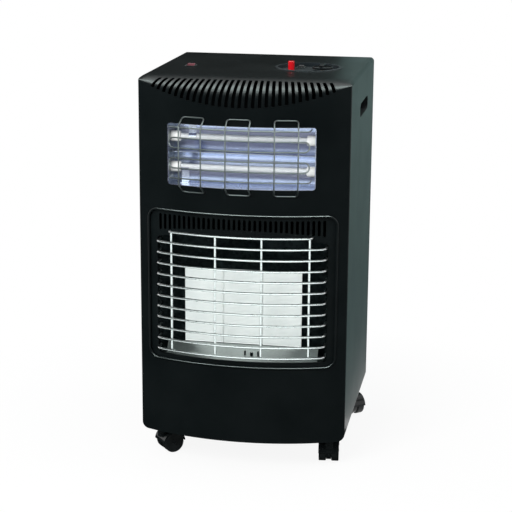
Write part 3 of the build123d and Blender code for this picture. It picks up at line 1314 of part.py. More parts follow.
def caster_plates():
    """The four steel plates under the tray, each with its swivel stem."""
    plates = []
    for name, x, y, turn in caster_spots():
        plate = upright(rounded(CASTER_PLATE, CASTER_PLATE, CASTER_PLATE_CORNER), PLATE_Z, FLOOR_GAP, x, y)
        stem = upright(Circle(STEM / 2), PLATE_Z - STEM_LENGTH, PLATE_Z, x, y)
        plates.append(plate + stem)
    return plates


def caster_hood():
    """The moulded hood of a caster: web, roof, axle stubs and swivel boss, at its own swivel axis."""
    trail = CASTER_TRAIL
    web_half = CASTER_WEB / 2
    upper_half = Pos(0, (HOOD_OUTER + HOOD_SKIRT) / 2) * Rectangle(2 * HOOD_OUTER, HOOD_OUTER - HOOD_SKIRT)
    disc = Circle(HOOD_OUTER)
    roof_face = (disc - Circle(HOOD_INNER)) & upper_half
    roof = side_slab(roof_face, -HOOD_WIDTH / 2, HOOD_WIDTH / 2, trail, AXLE_Z)
    web_face = (disc & upper_half) + Circle(WHEEL_DIAMETER / 2 - CASTER_WEB_INSET)
    web = side_slab(web_face, -web_half, web_half, trail, AXLE_Z)
    axle_half = web_half + WHEEL_GAP + WHEEL_WIDTH + WHEEL_GAP
    axle = rod_along_x(AXLE / 2, -axle_half, axle_half, trail, AXLE_Z)
    boss = upright(Circle(SWIVEL_BOSS / 2), BOSS_TOP_Z - SWIVEL_BOSS_HEIGHT, BOSS_TOP_Z)
    boss = boss - side_slab(Circle(HOOD_INNER), -HOOD_WIDTH, HOOD_WIDTH, trail, AXLE_Z)
    hood = roof + web + axle + boss
    stem_bottom = PLATE_Z - STEM_LENGTH - STEM_END_GAP
    return hood - upright(Circle(STEM / 2 + STEM_FIT), stem_bottom, BOSS_TOP_Z + PAST)


def caster_wheel(side):
    """One of a caster's two wheels; side is -1 for the left one and +1 for the right one."""
    inner = CASTER_WEB / 2 + WHEEL_GAP
    outer = inner + WHEEL_WIDTH
    wheel = rod_along_x(WHEEL_DIAMETER / 2, inner, outer, CASTER_TRAIL, AXLE_Z)
    wheel = fillet(wheel.edges().filter_by(GeomType.CIRCLE), WHEEL_CORNER)
    dish_radius = WHEEL_DIAMETER / 2 - WHEEL_RIM
    dish = rod_along_x(dish_radius, outer - WHEEL_DISH, outer + PAST, CASTER_TRAIL, AXLE_Z)
    hub = rod_along_x(AXLE, outer - WHEEL_DISH, outer, CASTER_TRAIL, AXLE_Z)
    bore = rod_along_x(AXLE / 2 + WHEEL_BORE_FIT, inner - PAST, outer + PAST, CASTER_TRAIL, AXLE_Z)
    wheel = wheel - dish + hub - bore
    return wheel if side > 0 else mirror_x(wheel)


# ---- All pieces
def all_parts():
    """Every piece of the heater by name, in cabinet coordinates."""
    shell = cabinet_block(0, SIDE_DEPTH) - inner_space()
    side = side_panel(shell)
    cup = grip_cup()
    low, high = tube_heights()
    left, middle, right = plaques()
    parts = {
        "front_panel": front_panel(shell),
        "top_panel": top_panel(shell),
        "right_side_panel": side,
        "left_side_panel": mirror_x(side),
        "base_tray": base_tray(shell),
        "heat_shield": heat_shield(),
        "rear_rail": rear_rail(),
        "rear_cover": rear_cover(),
        "cover_screws": cover_screws(),
        "casing_screws": casing_screws(),
        "right_grip_cup": cup,
        "left_grip_cup": mirror_x(cup),
        "radiant_surround": radiant_surround(),
        "burner_pan": burner_pan(),
        "plaque_left": left,
        "plaque_centre": middle,
        "plaque_right": right,
        "burner_plenum": burner_plenum(),
        "venturi_tube": venturi_tube(),
        "injector": injector(),
        "gas_pipe": gas_pipe(),
        "pilot_bracket": pilot_bracket(),
        "pilot_burner": pilot_burner(),
        "thermocouple": probe(PILOT_X - PILOT_PITCH),
        "spark_electrode": probe(PILOT_X + PILOT_PITCH),
        "radiant_guard": radiant_guard(),
        "electric_reflector": electric_reflector(),
        "reflector_end_plates": end_plates(),
        "upper_quartz_tube": quartz_tube(high),
        "lower_quartz_tube": quartz_tube(low),
        "heating_coils": heating_coils(),
        "tube_end_caps": end_caps(),
        "tube_clips": tube_clips(),
        "electric_guard": electric_guard(),
        "control_pod": control_pod(),
        "valve_spindle": valve_spindle(),
        "gas_knob": gas_knob(),
        "ignition_button": ignition_button(),
        "piezo_igniter": piezo_igniter(),
        "gas_valve": gas_valve(),
        "hose_tail": hose_tail(),
        "selector_housing": switch_housing(SELECTOR_WIDTH, SELECTOR_X, SELECTOR_Y, POD_FLOOR_Z),
        "selector_rocker": rocker(SELECTOR_WIDTH, SELECTOR_X, SELECTOR_Y, POD_FLOOR_Z),
        "power_switch_housing": switch_housing(POWER_WIDTH, POWER_X, POWER_Y, BODY_TOP),
        "power_rocker": rocker(POWER_WIDTH, POWER_X, POWER_Y, BODY_TOP),
        "terminal_block": terminal_block(),
        "cord_gland": cord_gland(),
        "caster_plates": caster_plates(),
    }
    for name, x, y, turn in caster_spots():
        spot = Pos(x, y, 0) * Rot(0, 0, turn)
        parts[f"{name}_caster_hood"] = spot * caster_hood()
        parts[f"{name}_caster_left_wheel"] = spot * caster_wheel(-1)
        parts[f"{name}_caster_right_wheel"] = spot * caster_wheel(1)
    return parts


def save(name, shape):
    """Write one piece, or a group of like pieces, with the origin under the heater's middle."""
    pieces = shape if isinstance(shape, (list, tuple)) else [shape]
    solids = []
    for piece in pieces:
        solids = solids + list((Pos(0, -ORIGIN_Y, 0) * piece).solids())
    body = solids[0] if len(solids) == 1 else Compound(children=solids)
    export_step(body, f"parts/{name}.step")


os.makedirs("parts", exist_ok=True)
for part_name, part_shape in all_parts().items():
    save(part_name, part_shape)
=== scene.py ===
# %% [markdown]
# # A gas cabinet heater on its casters
# The heater arrives as a set of solid pieces at their real sizes. This lesson dresses them: each sheet,
# rod, tile and moulding gets the finish of the real one, and pieces whose charm lies in something repeated,
# such as guard rods, weld beads and pierced tiles, are made again with Geometry Nodes. The solids are the
# fixed frame, so no piece is measured by eye: its place comes from the solid that it stands for.

# %% Load the frame
import json
import math

import bmesh
import bpy
from mathutils import Matrix, Vector

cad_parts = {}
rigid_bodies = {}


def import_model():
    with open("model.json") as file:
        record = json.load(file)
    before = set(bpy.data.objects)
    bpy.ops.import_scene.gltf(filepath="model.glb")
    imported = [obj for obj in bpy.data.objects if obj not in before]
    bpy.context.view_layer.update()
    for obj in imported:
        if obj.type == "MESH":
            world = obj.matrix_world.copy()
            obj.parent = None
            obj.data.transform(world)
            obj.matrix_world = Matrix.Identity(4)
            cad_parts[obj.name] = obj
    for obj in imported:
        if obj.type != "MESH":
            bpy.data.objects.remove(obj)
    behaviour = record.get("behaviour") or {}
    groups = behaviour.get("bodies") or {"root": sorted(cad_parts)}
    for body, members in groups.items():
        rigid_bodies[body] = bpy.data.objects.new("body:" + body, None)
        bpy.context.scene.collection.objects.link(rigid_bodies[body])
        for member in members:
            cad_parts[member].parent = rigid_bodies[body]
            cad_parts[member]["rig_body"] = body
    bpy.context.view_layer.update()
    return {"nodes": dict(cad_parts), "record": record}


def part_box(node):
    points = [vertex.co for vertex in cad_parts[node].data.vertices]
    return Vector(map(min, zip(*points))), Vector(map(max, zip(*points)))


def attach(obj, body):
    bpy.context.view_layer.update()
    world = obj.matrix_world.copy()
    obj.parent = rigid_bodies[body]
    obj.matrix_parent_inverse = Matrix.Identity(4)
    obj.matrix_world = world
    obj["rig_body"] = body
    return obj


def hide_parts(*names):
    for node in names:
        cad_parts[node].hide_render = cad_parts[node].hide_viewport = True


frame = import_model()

nodes = frame["nodes"]

# %% [markdown]
# ## The camera
# The picture was taken from 3 m away with a long lens, a little from the heater's right and a little from
# above. A long lens keeps the upright edges almost parallel. The angles are turned into three axes by hand,
# because that shows what a camera matrix is: where its right, its up and its back point.

# %% Camera
YAW, PITCH, ROLL = math.radians(10.23), math.radians(14.66), math.radians(0.38)
PICTURE_PX, FOCAL_PX, SENSOR_MM = 512, 1490, 36.0
CAMERA_PLACE = (0.5203, -2.9083, 1.1572)

ahead = Vector((-math.sin(YAW) * math.cos(PITCH), math.cos(YAW) * math.cos(PITCH), -math.sin(PITCH)))
level = Vector((math.cos(YAW), math.sin(YAW), 0))
above = level.cross(ahead)
right = math.cos(ROLL) * level + math.sin(ROLL) * above
up = -math.sin(ROLL) * level + math.cos(ROLL) * above

camera_data = bpy.data.cameras.new("studio_camera")
camera_data.sensor_width = SENSOR_MM
camera_data.lens = FOCAL_PX / PICTURE_PX * SENSOR_MM
camera = bpy.data.objects.new("studio_camera", camera_data)
axes = Matrix((right, up, -ahead)).transposed().to_4x4()
camera.matrix_world = Matrix.Translation(CAMERA_PLACE) @ axes
bpy.context.scene.collection.objects.link(camera)
bpy.context.scene.camera = camera
bpy.context.scene.view_settings.view_transform = "Standard"
print("lens in mm:", round(camera_data.lens, 1))

# %% [markdown]
# ## Small tools
# A shader or a Geometry Nodes tree is a list of nodes and of links between them. One function adds a
# node, sets it and links it, so that each finish below reads as a recipe. Another lets a finish vary
# between two colours and two roughnesses, because no real surface is even. Colours are written as on a
# paint card, in sRGB hex, and turned to the linear values that a renderer adds up. Sizes are written in
# millimetres.

# %% Helpers for sizes, colours and nodes
MM = 0.001


def linear(card):
    """The linear colour of an sRGB hex value."""
    channels = [int(card[i:i + 2], 16) / 255 for i in (1, 3, 5)]
    return tuple(c / 12.92 if c <= 0.04045 else ((c + 0.055) / 1.055) ** 2.4 for c in channels) + (1.0,)


def per_mm(size):
    """The scale of a noise or cell pattern whose features are that many millimetres across."""
    return 1000 / size


def feed(tree, node, feeds):
    """Gives a node its inputs: each is a socket to link from, or a plain value."""
    for name, value in feeds.items():
        if isinstance(value, bpy.types.NodeSocket):
            tree.links.new(value, node.inputs[name])
        else:
            node.inputs[name].default_value = value


def add_node(tree, kind, feeds=None, **settings):
    """Adds a node with its settings, and feeds its inputs."""
    node = tree.nodes.new(kind)
    for name, value in settings.items():
        setattr(node, name, value)
    feed(tree, node, feeds or {})
    return node


def start_finish(name, **values):
    """A new material, its shader with those values, and the object's own coordinates."""
    material = bpy.data.materials.new(name)
    material.use_nodes = True
    tree = material.node_tree
    shader = tree.nodes["Principled BSDF"]
    feed(tree, shader, {socket.replace("_", " "): value for socket, value in values.items()})
    place = add_node(tree, "ShaderNodeTexCoord").outputs["Object"]
    return material, tree, shader, place


def vary(tree, shader, tone, shine, cards, stops, roughnesses):
    """Lets a finish's colour follow the value of one pattern, and its roughness that of another."""
    colour = add_node(tree, "ShaderNodeValToRGB", {"Fac": tone})
    for end, (card, stop) in enumerate(zip(cards, stops)):
        element = colour.color_ramp.elements[end]
        element.position, element.color = stop, linear(card)
    smooth, rough = roughnesses
    gloss = add_node(tree, "ShaderNodeMapRange", {"Value": shine, "To Min": smooth, "To Max": rough})
    feed(tree, shader, {"Base Color": colour.outputs["Color"], "Roughness": gloss.outputs["Result"]})


print("a mid grey card of #808080 is", round(linear("#808080")[0], 3), "in linear light")

# %% [markdown]
# ## Baked enamel on sheet steel
# The cabinet is folded sheet with a satin stove enamel, almost black with a cold green cast. Sprayed enamel
# is never quite flat: it has a fine orange peel about 2 mm across, and its gloss drifts a little over a
# hand's width. The peel is bump, and the drift moves the roughness, so a long reflection wavers as on the
# real panel.

# %% Enamel finishes
PEEL_MM, DRIFT_MM, PEEL_DEPTH = 2.2, 90, 0.1 * MM


def enamel(name, dark, pale, smooth, rough, peel):
    """Stove enamel between two colours and two roughnesses, with an orange peel of that strength."""
    material, tree, shader, place = start_finish(name, IOR=1.5, Specular_IOR_Level=0.28)
    drift = add_node(tree, "ShaderNodeTexNoise", {"Vector": place, "Scale": per_mm(DRIFT_MM), "Detail": 3.0})
    value = drift.outputs["Fac"]
    vary(tree, shader, value, value, (dark, pale), (0.3, 0.75), (smooth, rough))
    grain = add_node(tree, "ShaderNodeTexNoise", {"Vector": place, "Scale": per_mm(PEEL_MM), "Detail": 2.0})
    bump = add_node(tree, "ShaderNodeBump", {
        "Height": grain.outputs["Fac"], "Strength": peel, "Distance": PEEL_DEPTH})
    feed(tree, shader, {"Normal": bump.outputs["Normal"]})
    return material


satin_enamel = enamel("satin_black_stove_enamel", "#090e0f", "#0e1314", 0.26, 0.34, 0.3)
heatproof_enamel = enamel("heatproof_black_enamel", "#0b1011", "#111718", 0.34, 0.44, 0.45)
# Matt black paint for the heat shield and caster plates. Its darkness is also painted shade, so that the
# shield seen through the vent slots reads as black shade.
black_paint_and_painted_shade = enamel("matt_black_stove_paint", "#08090a", "#0c0e0e", 0.7, 0.85, 0.6)
print("enamels:", satin_enamel.name, heatproof_enamel.name, black_paint_and_painted_shade.name)

# %% [markdown]
# ## Bare and plated sheet steel
# Zinc-coated sheet shows a spangle: crystals some 9 mm across, each catching the light at its own angle. A
# cell pattern gives each crystal its own tone and roughness. Aluminised steel, used where it gets hot, has
# a finer and flatter mottle, and is kept very dark here: painted shade for the parts in and behind the
# burner's recess. Bright zinc on small parts is even, with a faint drawn grain.

# %% Sheet steel finishes
RAGGEDNESS = 0.006


def spangled(name, dark, pale, crystal_mm, smooth, rough):
    """Coated sheet whose crystals differ in tone and gloss, their borders bent a little by noise."""
    material, tree, shader, place = start_finish(name, Metallic=1.0)
    size = per_mm(crystal_mm)
    wander = add_node(tree, "ShaderNodeTexNoise", {"Vector": place, "Scale": size, "Detail": 2.0})
    bend = add_node(tree, "ShaderNodeMix", {
        "Factor": RAGGEDNESS, "A": place, "B": wander.outputs["Color"]}, data_type="VECTOR")
    cells = add_node(tree, "ShaderNodeTexVoronoi", {"Vector": bend.outputs[1], "Scale": size})
    of_cell = add_node(tree, "ShaderNodeSeparateColor", {"Color": cells.outputs["Color"]}).outputs
    vary(tree, shader, of_cell["Red"], of_cell["Green"], (dark, pale), (0, 1), (smooth, rough))
    return material


galvanised = spangled("spangled_galvanised_steel", "#848b8b", "#a9b0b0", 9, 0.38, 0.5)
# Aluminised steel kept very dark: painted shade for the parts in and behind the burner's recess.
aluminised = spangled("heat_dulled_aluminised_steel", "#343c3e", "#434c4e", 5, 0.48, 0.6)
print("sheet finishes:", galvanised.name, aluminised.name)

# %% [markdown]
# ## Drawn, plated and polished metal
# Wire, tube and turned parts all carry marks that run one way, from the die or the lathe. Noise stretched
# along one axis draws them: fine across and long along. How strong they are and how rough the metal is
# tells chrome from zinc and brass from cast aluminium. The reflector is polished sheet, so its grain is
# faint and its face a little wavy.

# %% Drawn metal finishes
MARK_DEPTH = 0.05 * MM


def drawn_metal(name, dark, pale, smooth, rough, grain_mm, run_mm, mark):
    """Metal with marks of that width and length along X, their depth given by mark."""
    material, tree, shader, place = start_finish(name, Metallic=1.0)
    stretch = (per_mm(run_mm), per_mm(grain_mm), per_mm(grain_mm))
    run = add_node(tree, "ShaderNodeMapping", {"Vector": place, "Scale": stretch})
    marks = add_node(tree, "ShaderNodeTexNoise", {
        "Vector": run.outputs["Vector"], "Scale": 1.0, "Detail": 4.0})
    value = marks.outputs["Fac"]
    vary(tree, shader, value, value, (dark, pale), (0.25, 0.75), (smooth, rough))
    bump = add_node(tree, "ShaderNodeBump", {"Height": value, "Strength": mark, "Distance": MARK_DEPTH})
    feed(tree, shader, {"Normal": bump.outputs["Normal"]})
    return material


chromed_wire = drawn_metal("bright_chromed_wire", "#dfe3e3", "#f4f6f6", 0.24, 0.32, 1.5, 25, 0.1)
nickel_wire = drawn_metal("dull_nickelled_wire", "#a3abab", "#bcc3c3", 0.34, 0.44, 1.5, 25, 0.1)
bright_zinc = drawn_metal("bright_zinc_plate", "#b4b9b8", "#cfd4d2", 0.24, 0.36, 0.6, 6, 0.2)
# The polished aluminium's blue cast is a painted reflection of the blue light that the troughs mirror.
polished_sheet_painted_blue_reflection = drawn_metal("polished_aluminium_sheet", "#d0d7ea", "#e6eaf7", 0.22, 0.3, 8, 220, 0.2)
turned_brass = drawn_metal("turned_brass", "#b08d4c", "#cfae6b", 0.22, 0.34, 0.4, 8, 0.2)
drawn_aluminium = drawn_metal("drawn_aluminium_tube", "#b9bcbe", "#d5d8da", 0.3, 0.42, 0.7, 12, 0.2)
cast_aluminium = drawn_metal("die_cast_aluminium", "#9c9fa1", "#b8bbbc", 0.45, 0.58, 1.2, 1.2, 0.5)
heater_wire = drawn_metal("oxidised_resistance_wire", "#5d5750", "#7b746b", 0.4, 0.5, 0.5, 4, 0.2)
print("finishes so far:", len(bpy.data.materials))

# %% [markdown]
# ## Ceramic and quartz
# The burner tiles are fired, unglazed cordierite: chalk white, quite matt, with a grain like fine biscuit.
# The end caps of the tubes are denser steatite with a slight sheen. The tubes are milky quartz, drawn from
# sand, full of tiny bubbles in long rows, which is why they look white and hide the element inside.

# %% Ceramic and quartz finishes
KILN_MM, BISCUIT_DEPTH = 30, 0.1 * MM
BUBBLE_MM, BUBBLE_ROW_MM = 0.8, 18


def fired_clay(name, shade, light, roughness, grain_mm, depth):
    """Unglazed ceramic with a fine grain and faint kiln shading."""
    material, tree, shader, place = start_finish(name, IOR=1.5, Specular_IOR_Level=0.3, Roughness=roughness)
    kiln = add_node(tree, "ShaderNodeTexNoise", {"Vector": place, "Scale": per_mm(KILN_MM), "Detail": 4.0})
    colour = add_node(tree, "ShaderNodeValToRGB", {"Fac": kiln.outputs["Fac"]})
    colour.color_ramp.elements[0].position, colour.color_ramp.elements[0].color = 0.3, linear(shade)
    colour.color_ramp.elements[1].position, colour.color_ramp.elements[1].color = 0.7, linear(light)
    grain = add_node(tree, "ShaderNodeTexNoise", {"Vector": place, "Scale": per_mm(grain_mm), "Detail": 3.0})
    bump = add_node(tree, "ShaderNodeBump", {
        "Height": grain.outputs["Fac"], "Strength": depth, "Distance": BISCUIT_DEPTH})
    feed(tree, shader, {"Base Color": colour.outputs["Color"], "Normal": bump.outputs["Normal"]})
    return material


cordierite = fired_clay("fired_cordierite_tile", "#ebf1ef", "#f4f9f7", 0.9, 0.8, 0.4)
steatite = fired_clay("dense_steatite_ceramic", "#e9ebe9", "#f6f7f5", 0.4, 1.2, 0.15)

milky_quartz, tree, shader, place = start_finish("milky_drawn_quartz", IOR=1.46, Transmission_Weight=0.35)
row_scale = (per_mm(BUBBLE_ROW_MM), per_mm(BUBBLE_MM), per_mm(BUBBLE_MM))
bubble_rows = add_node(tree, "ShaderNodeMapping", {"Vector": place, "Scale": row_scale})
bubbles = add_node(tree, "ShaderNodeTexNoise", {
    "Vector": bubble_rows.outputs["Vector"], "Scale": 1.0, "Detail": 3.0})
value = bubbles.outputs["Fac"]
vary(tree, shader, value, value, ("#e4eaee", "#f8fbfc"), (0.3, 0.7), (0.22, 0.38))
print("ceramics:", cordierite.name, steatite.name, milky_quartz.name)

# %% [markdown]
# ## Moulded plastic
# Moulded parts take the surface of their mould. A spark-eroded mould leaves an even, pebbled grain about
# half a millimetre across, drawn here at 0.9 mm so that it shows. A polished mould leaves a glossy skin in
# which only the slightest ripple is seen. Both are the same recipe with another grain.

# %% Plastic finishes
FLOW_MM, GRAIN_DEPTH = 14, 0.1 * MM


def moulded(name, dark, pale, smooth, rough, grain_mm, depth):
    """Moulded plastic with a cell grain from its mould."""
    material, tree, shader, place = start_finish(name, IOR=1.49, Specular_IOR_Level=0.45)
    flow = add_node(tree, "ShaderNodeTexNoise", {"Vector": place, "Scale": per_mm(FLOW_MM), "Detail": 2.0})
    value = flow.outputs["Fac"]
    vary(tree, shader, value, value, (dark, pale), (0.3, 0.7), (smooth, rough))
    pebble = add_node(tree, "ShaderNodeTexVoronoi", {"Vector": place, "Scale": per_mm(grain_mm)})
    bump = add_node(tree, "ShaderNodeBump", {
        "Height": pebble.outputs["Distance"], "Strength": depth, "Distance": GRAIN_DEPTH})
    feed(tree, shader, {"Normal": bump.outputs["Normal"]})
    return material


grained_black = moulded("grained_black_polypropylene", "#15191a", "#1b2021", 0.55, 0.65, 0.9, 0.5)
dish_black = moulded("satin_black_nylon", "#1b2124", "#242c30", 0.34, 0.44, 0.9, 0.25)
knob_black = moulded("satin_black_phenolic", "#0f1314", "#15191b", 0.3, 0.4, 1.2, 0.15)
gloss_black = moulded("polished_black_abs", "#0f1213", "#15191a", 0.16, 0.24, 4, 0.05)
signal_red = moulded("polished_signal_red_abs", "#c0121b", "#d41822", 0.18, 0.26, 4, 0.05)
rocker_red = moulded("tinted_dark_red_polycarbonate", "#560b1d", "#661226", 0.26, 0.36, 4, 0.05)
wheel_black = moulded("hard_black_nylon_wheel", "#111516", "#171c1d", 0.42, 0.55, 0.9, 0.3)
print("finishes in all:", len(bpy.data.materials))

# %% [markdown]
# ## Dress the solids
# Most solids already have the true shape, but arrive as loose flat triangles. A copy of each has its
# doubled points merged and its sharp edges marked, so that rods and bowed sheet shade as one smooth surface
# while folds stay crisp. Mouldings and the pressed surround also get a fine rounded edge from a Bevel
# modifier: nothing moulded has a knife edge, and that thin highlight along the rim is what makes it look
# real. Weighted normals keep the large faces beside a narrow fold even. Each copy rides on the same body as
# its solid.

# %% Copy, merge, smooth
body_of = {name: obj["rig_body"] for name, obj in nodes.items()}
slot_of = {part["node"]: part["material_slot"] for part in frame["record"]["subparts"]}
CREASE, BEVEL_FROM, FLAT = math.radians(28), math.radians(40), math.radians(1)
MERGE = 0.002 * MM


def keep_piece(name, mesh, finish, body, slot, *stands_for):
    """Links a finished mesh as a piece of the heater."""
    piece = bpy.data.objects.new(name, mesh)
    bpy.context.scene.collection.objects.link(piece)
    if finish is not None:
        mesh.materials.clear()
        mesh.materials.append(finish)
    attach(piece, body)
    if stands_for:
        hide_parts(*stands_for)
    return piece


def smooth_by_angle(mesh):
    """Smooth faces, with every edge sharper than the crease angle kept sharp."""
    mesh.polygons.foreach_set("use_smooth", [True] * len(mesh.polygons))
    mesh.set_sharp_from_angle(angle=CREASE)


def through_modifiers(mesh, modifiers):
    """The mesh as those modifiers leave it. Each one is its kind and its settings."""
    holder = bpy.data.objects.new("holder", mesh)
    bpy.context.scene.collection.objects.link(holder)
    for kind, settings in modifiers:
        modifier = holder.modifiers.new(kind.lower(), kind)
        for name, value in settings.items():
            setattr(modifier, name, value)
    result = bpy.data.meshes.new_from_object(holder.evaluated_get(bpy.context.evaluated_depsgraph_get()))
    bpy.data.objects.remove(holder)
    return result


def round_edges(mesh, edge_mm):
    """The mesh with a two-step bevel of that width along its sharp edges."""
    return through_modifiers(mesh, [("BEVEL", {
        "width": edge_mm * MM, "segments": 2, "limit_method": "ANGLE", "angle_limit": BEVEL_FROM,
        "use_clamp_overlap": True})])


def level_large_faces(mesh):
    """Shades each fold from its own narrow faces, so that the large face beside it stays even."""
    return through_modifiers(mesh, [("WEIGHTED_NORMAL", {
        "mode": "FACE_AREA", "weight": 50, "keep_sharp": True})])


def cast(form, name):
    """A new mesh from an edited form, which is then given up."""
    mesh = bpy.data.meshes.new(name)
    form.to_mesh(mesh)
    form.free()
    return mesh


def dress(node, finish, edge_mm=0.0):
    """A smooth copy of a solid in its finish, its edges rounded by edge_mm."""
    form = bmesh.new()
    form.from_mesh(nodes[node].data)
    bmesh.ops.remove_doubles(form, verts=form.verts, dist=MERGE)
    if edge_mm:
        bmesh.ops.dissolve_limit(form, angle_limit=FLAT, verts=form.verts, edges=form.edges)
    mesh = cast(form, node + "_dressed")
    if edge_mm:
        mesh = round_edges(mesh, edge_mm)
    smooth_by_angle(mesh)
    mesh = level_large_faces(mesh)
    return keep_piece(node + "_dressed", mesh, finish, body_of[node], slot_of[node], node)


plain = {
    "front_panel": satin_enamel, "top_panel": satin_enamel, "right_side_panel": satin_enamel,
    "left_side_panel": satin_enamel, "rear_rail": satin_enamel, "rear_cover": satin_enamel,
    "base_tray": galvanised, "heat_shield": black_paint_and_painted_shade,
    "reflector_end_plates": galvanised, "burner_pan": aluminised, "burner_plenum": aluminised,
    "venturi_tube": aluminised, "pilot_bracket": aluminised, "pilot_burner": aluminised,
    "thermocouple": aluminised, "spark_electrode": aluminised, "caster_plates": black_paint_and_painted_shade,
    "tube_clips": polished_sheet_painted_blue_reflection, "electric_reflector": polished_sheet_painted_blue_reflection, "tube_end_caps": steatite,
    "upper_quartz_tube": milky_quartz, "lower_quartz_tube": milky_quartz, "injector": turned_brass,
    "hose_tail": turned_brass, "valve_spindle": turned_brass, "gas_pipe": drawn_aluminium,
}
for node, finish in plain.items():
    dress(node, finish)
print("smooth copies:", len(plain))

# %% Painted light: the pan's upward faces get the brighter galvanised finish
FACING_UP = 0.9
pan = bpy.data.objects["burner_pan_dressed"].data
pan.materials.append(galvanised)
# Faces that face up take the brighter finish: painted light from above, against the darker walls.
for face in pan.polygons:
    face.material_index = int(face.normal.z > FACING_UP)
print("faces painted as lit from above:", sum(face.material_index for face in pan.polygons))

# %% Mouldings and the surround with a rounded edge
moulding_edges = {
    "radiant_surround": (heatproof_enamel, 0.7), "control_pod": (dish_black, 0.25),
    "gas_knob": (knob_black, 0.25), "ignition_button": (signal_red, 0.2),
    "selector_rocker": (gloss_black, 0.4), "power_rocker": (rocker_red, 0.4),
    "selector_housing": (grained_black, 0.2), "power_switch_housing": (grained_black, 0.2),
    "right_grip_cup": (grained_black, 0.3), "left_grip_cup": (grained_black, 0.3),
    "cord_gland": (grained_black, 0.4), "piezo_igniter": (grained_black, 0.4),
    "terminal_block": (steatite, 0.4), "gas_valve": (cast_aluminium, 0.8),
}
for corner in ("front_left", "front_right", "rear_left", "rear_right"):
    moulding_edges[corner + "_caster_hood"] = (gloss_black, 0.6)
    moulding_edges[corner + "_caster_left_wheel"] = (wheel_black, 0.3)
    moulding_edges[corner + "_caster_right_wheel"] = (wheel_black, 0.3)
for node, (finish, edge_mm) in moulding_edges.items():
    dress(node, finish, edge_mm)
print("mouldings:", len(moulding_edges))

# %% [markdown]
# ## A tree that repeats and sweeps
# Both guards are wire: a path, a round section, and the same path again at even steps. Geometry Nodes says
# exactly that. The mesh that goes in is only the path's line. The tree makes it a curve, sweeps a circle
# along it, sets a copy at each step, and ends in real geometry with its material, because an instance would
# be lost when the model is saved for another program. Its inputs have names, so one tree serves every rod
# and wire.

# %% Build the sweeping tree


def start_tree(name, inputs):
    """A new Geometry Nodes tree with named inputs; gives the tree, its input node and its output node."""
    tree = bpy.data.node_groups.new(name, "GeometryNodeTree")
    tree.interface.new_socket("Geometry", in_out="INPUT", socket_type="NodeSocketGeometry")
    for title, kind in inputs.items():
        tree.interface.new_socket(title, in_out="INPUT", socket_type=kind)
    tree.interface.new_socket("Geometry", in_out="OUTPUT", socket_type="NodeSocketGeometry")
    return tree, add_node(tree, "NodeGroupInput").outputs, add_node(tree, "NodeGroupOutput")


def end_tree(tree, leaves, result, finish):
    """Real geometry with its material, as each tree ends."""
    real = add_node(tree, "GeometryNodeRealizeInstances", {"Geometry": result})
    painted = add_node(tree, "GeometryNodeSetMaterial", {
        "Geometry": real.outputs["Geometry"], "Material": finish})
    tree.links.new(painted.outputs["Geometry"], leaves.inputs["Geometry"])


wire_tree, given, leaves = start_tree("wire_repeated_along_a_step", {
    "Wire Diameter": "NodeSocketFloat", "Count": "NodeSocketInt", "Step": "NodeSocketVector",
    "Sides": "NodeSocketInt", "Finish": "NodeSocketMaterial",
})
half_wire = add_node(wire_tree, "ShaderNodeMath", {0: given["Wire Diameter"], 1: 0.5}, operation="MULTIPLY")
line = add_node(wire_tree, "GeometryNodeMeshToCurve", {"Mesh": given["Geometry"]})
section = add_node(wire_tree, "GeometryNodeCurvePrimitiveCircle", {
    "Resolution": given["Sides"], "Radius": half_wire.outputs[0]})
swept = add_node(wire_tree, "GeometryNodeCurveToMesh", {
    "Curve": line.outputs["Curve"], "Profile Curve": section.outputs["Curve"], "Fill Caps": True})
soft = add_node(wire_tree, "GeometryNodeSetShadeSmooth", {"Geometry": swept.outputs["Mesh"]})
steps = add_node(wire_tree, "GeometryNodeMeshLine", {"Count": given["Count"], "Offset": given["Step"]})
copies = add_node(wire_tree, "GeometryNodeInstanceOnPoints", {
    "Points": steps.outputs["Mesh"], "Instance": soft.outputs["Geometry"]})
end_tree(wire_tree, leaves, copies.outputs["Instances"], given["Finish"])


def grow(name, base, tree, values):
    """Runs a tree on a base mesh and gives the result as a plain mesh."""
    holder = bpy.data.objects.new(name + "_base", base)
    bpy.context.scene.collection.objects.link(holder)
    modifier = holder.modifiers.new(tree.name, "NODES")
    modifier.node_group = tree
    sockets = {item.name: item.identifier for item in tree.interface.items_tree if item.in_out == "INPUT"}
    for title, value in values.items():
        modifier[sockets[title]] = value
    evaluated = holder.evaluated_get(bpy.context.evaluated_depsgraph_get())
    mesh = bpy.data.meshes.new_from_object(evaluated)
    mesh.name = name
    holder.modifiers.remove(modifier)
    bpy.data.objects.remove(holder)
    # A tree can leave an empty slot before its material, so only the last slot is kept.
    finish = mesh.materials[-1]
    mesh.materials.clear()
    mesh.materials.append(finish)
    mesh.polygons.foreach_set("material_index", [0] * len(mesh.polygons))
    print(name, "faces:", len(mesh.polygons))
    return mesh


def path_mesh(name, paths):
    """Lines through points, as a mesh. Each path is its points and whether it closes."""
    points, edges = [], []
    for path, closed in paths:
        first = len(points)
        points += [tuple(p) for p in path]
        edges += [(i, i + 1) for i in range(first, len(points) - 1)]
        if closed:
            edges.append((len(points) - 1, first))
    mesh = bpy.data.meshes.new(name)
    mesh.from_pydata(points, edges, [])
    return mesh


def sweep(name, paths, diameter, sides, finish, count=1, step=(0, 0, 0)):
    """Wire along those paths, and the same again at each step."""
    return grow(name, path_mesh(name + "_line", paths), wire_tree, {
        "Wire Diameter": diameter, "Count": count, "Step": step, "Sides": sides, "Finish": finish})


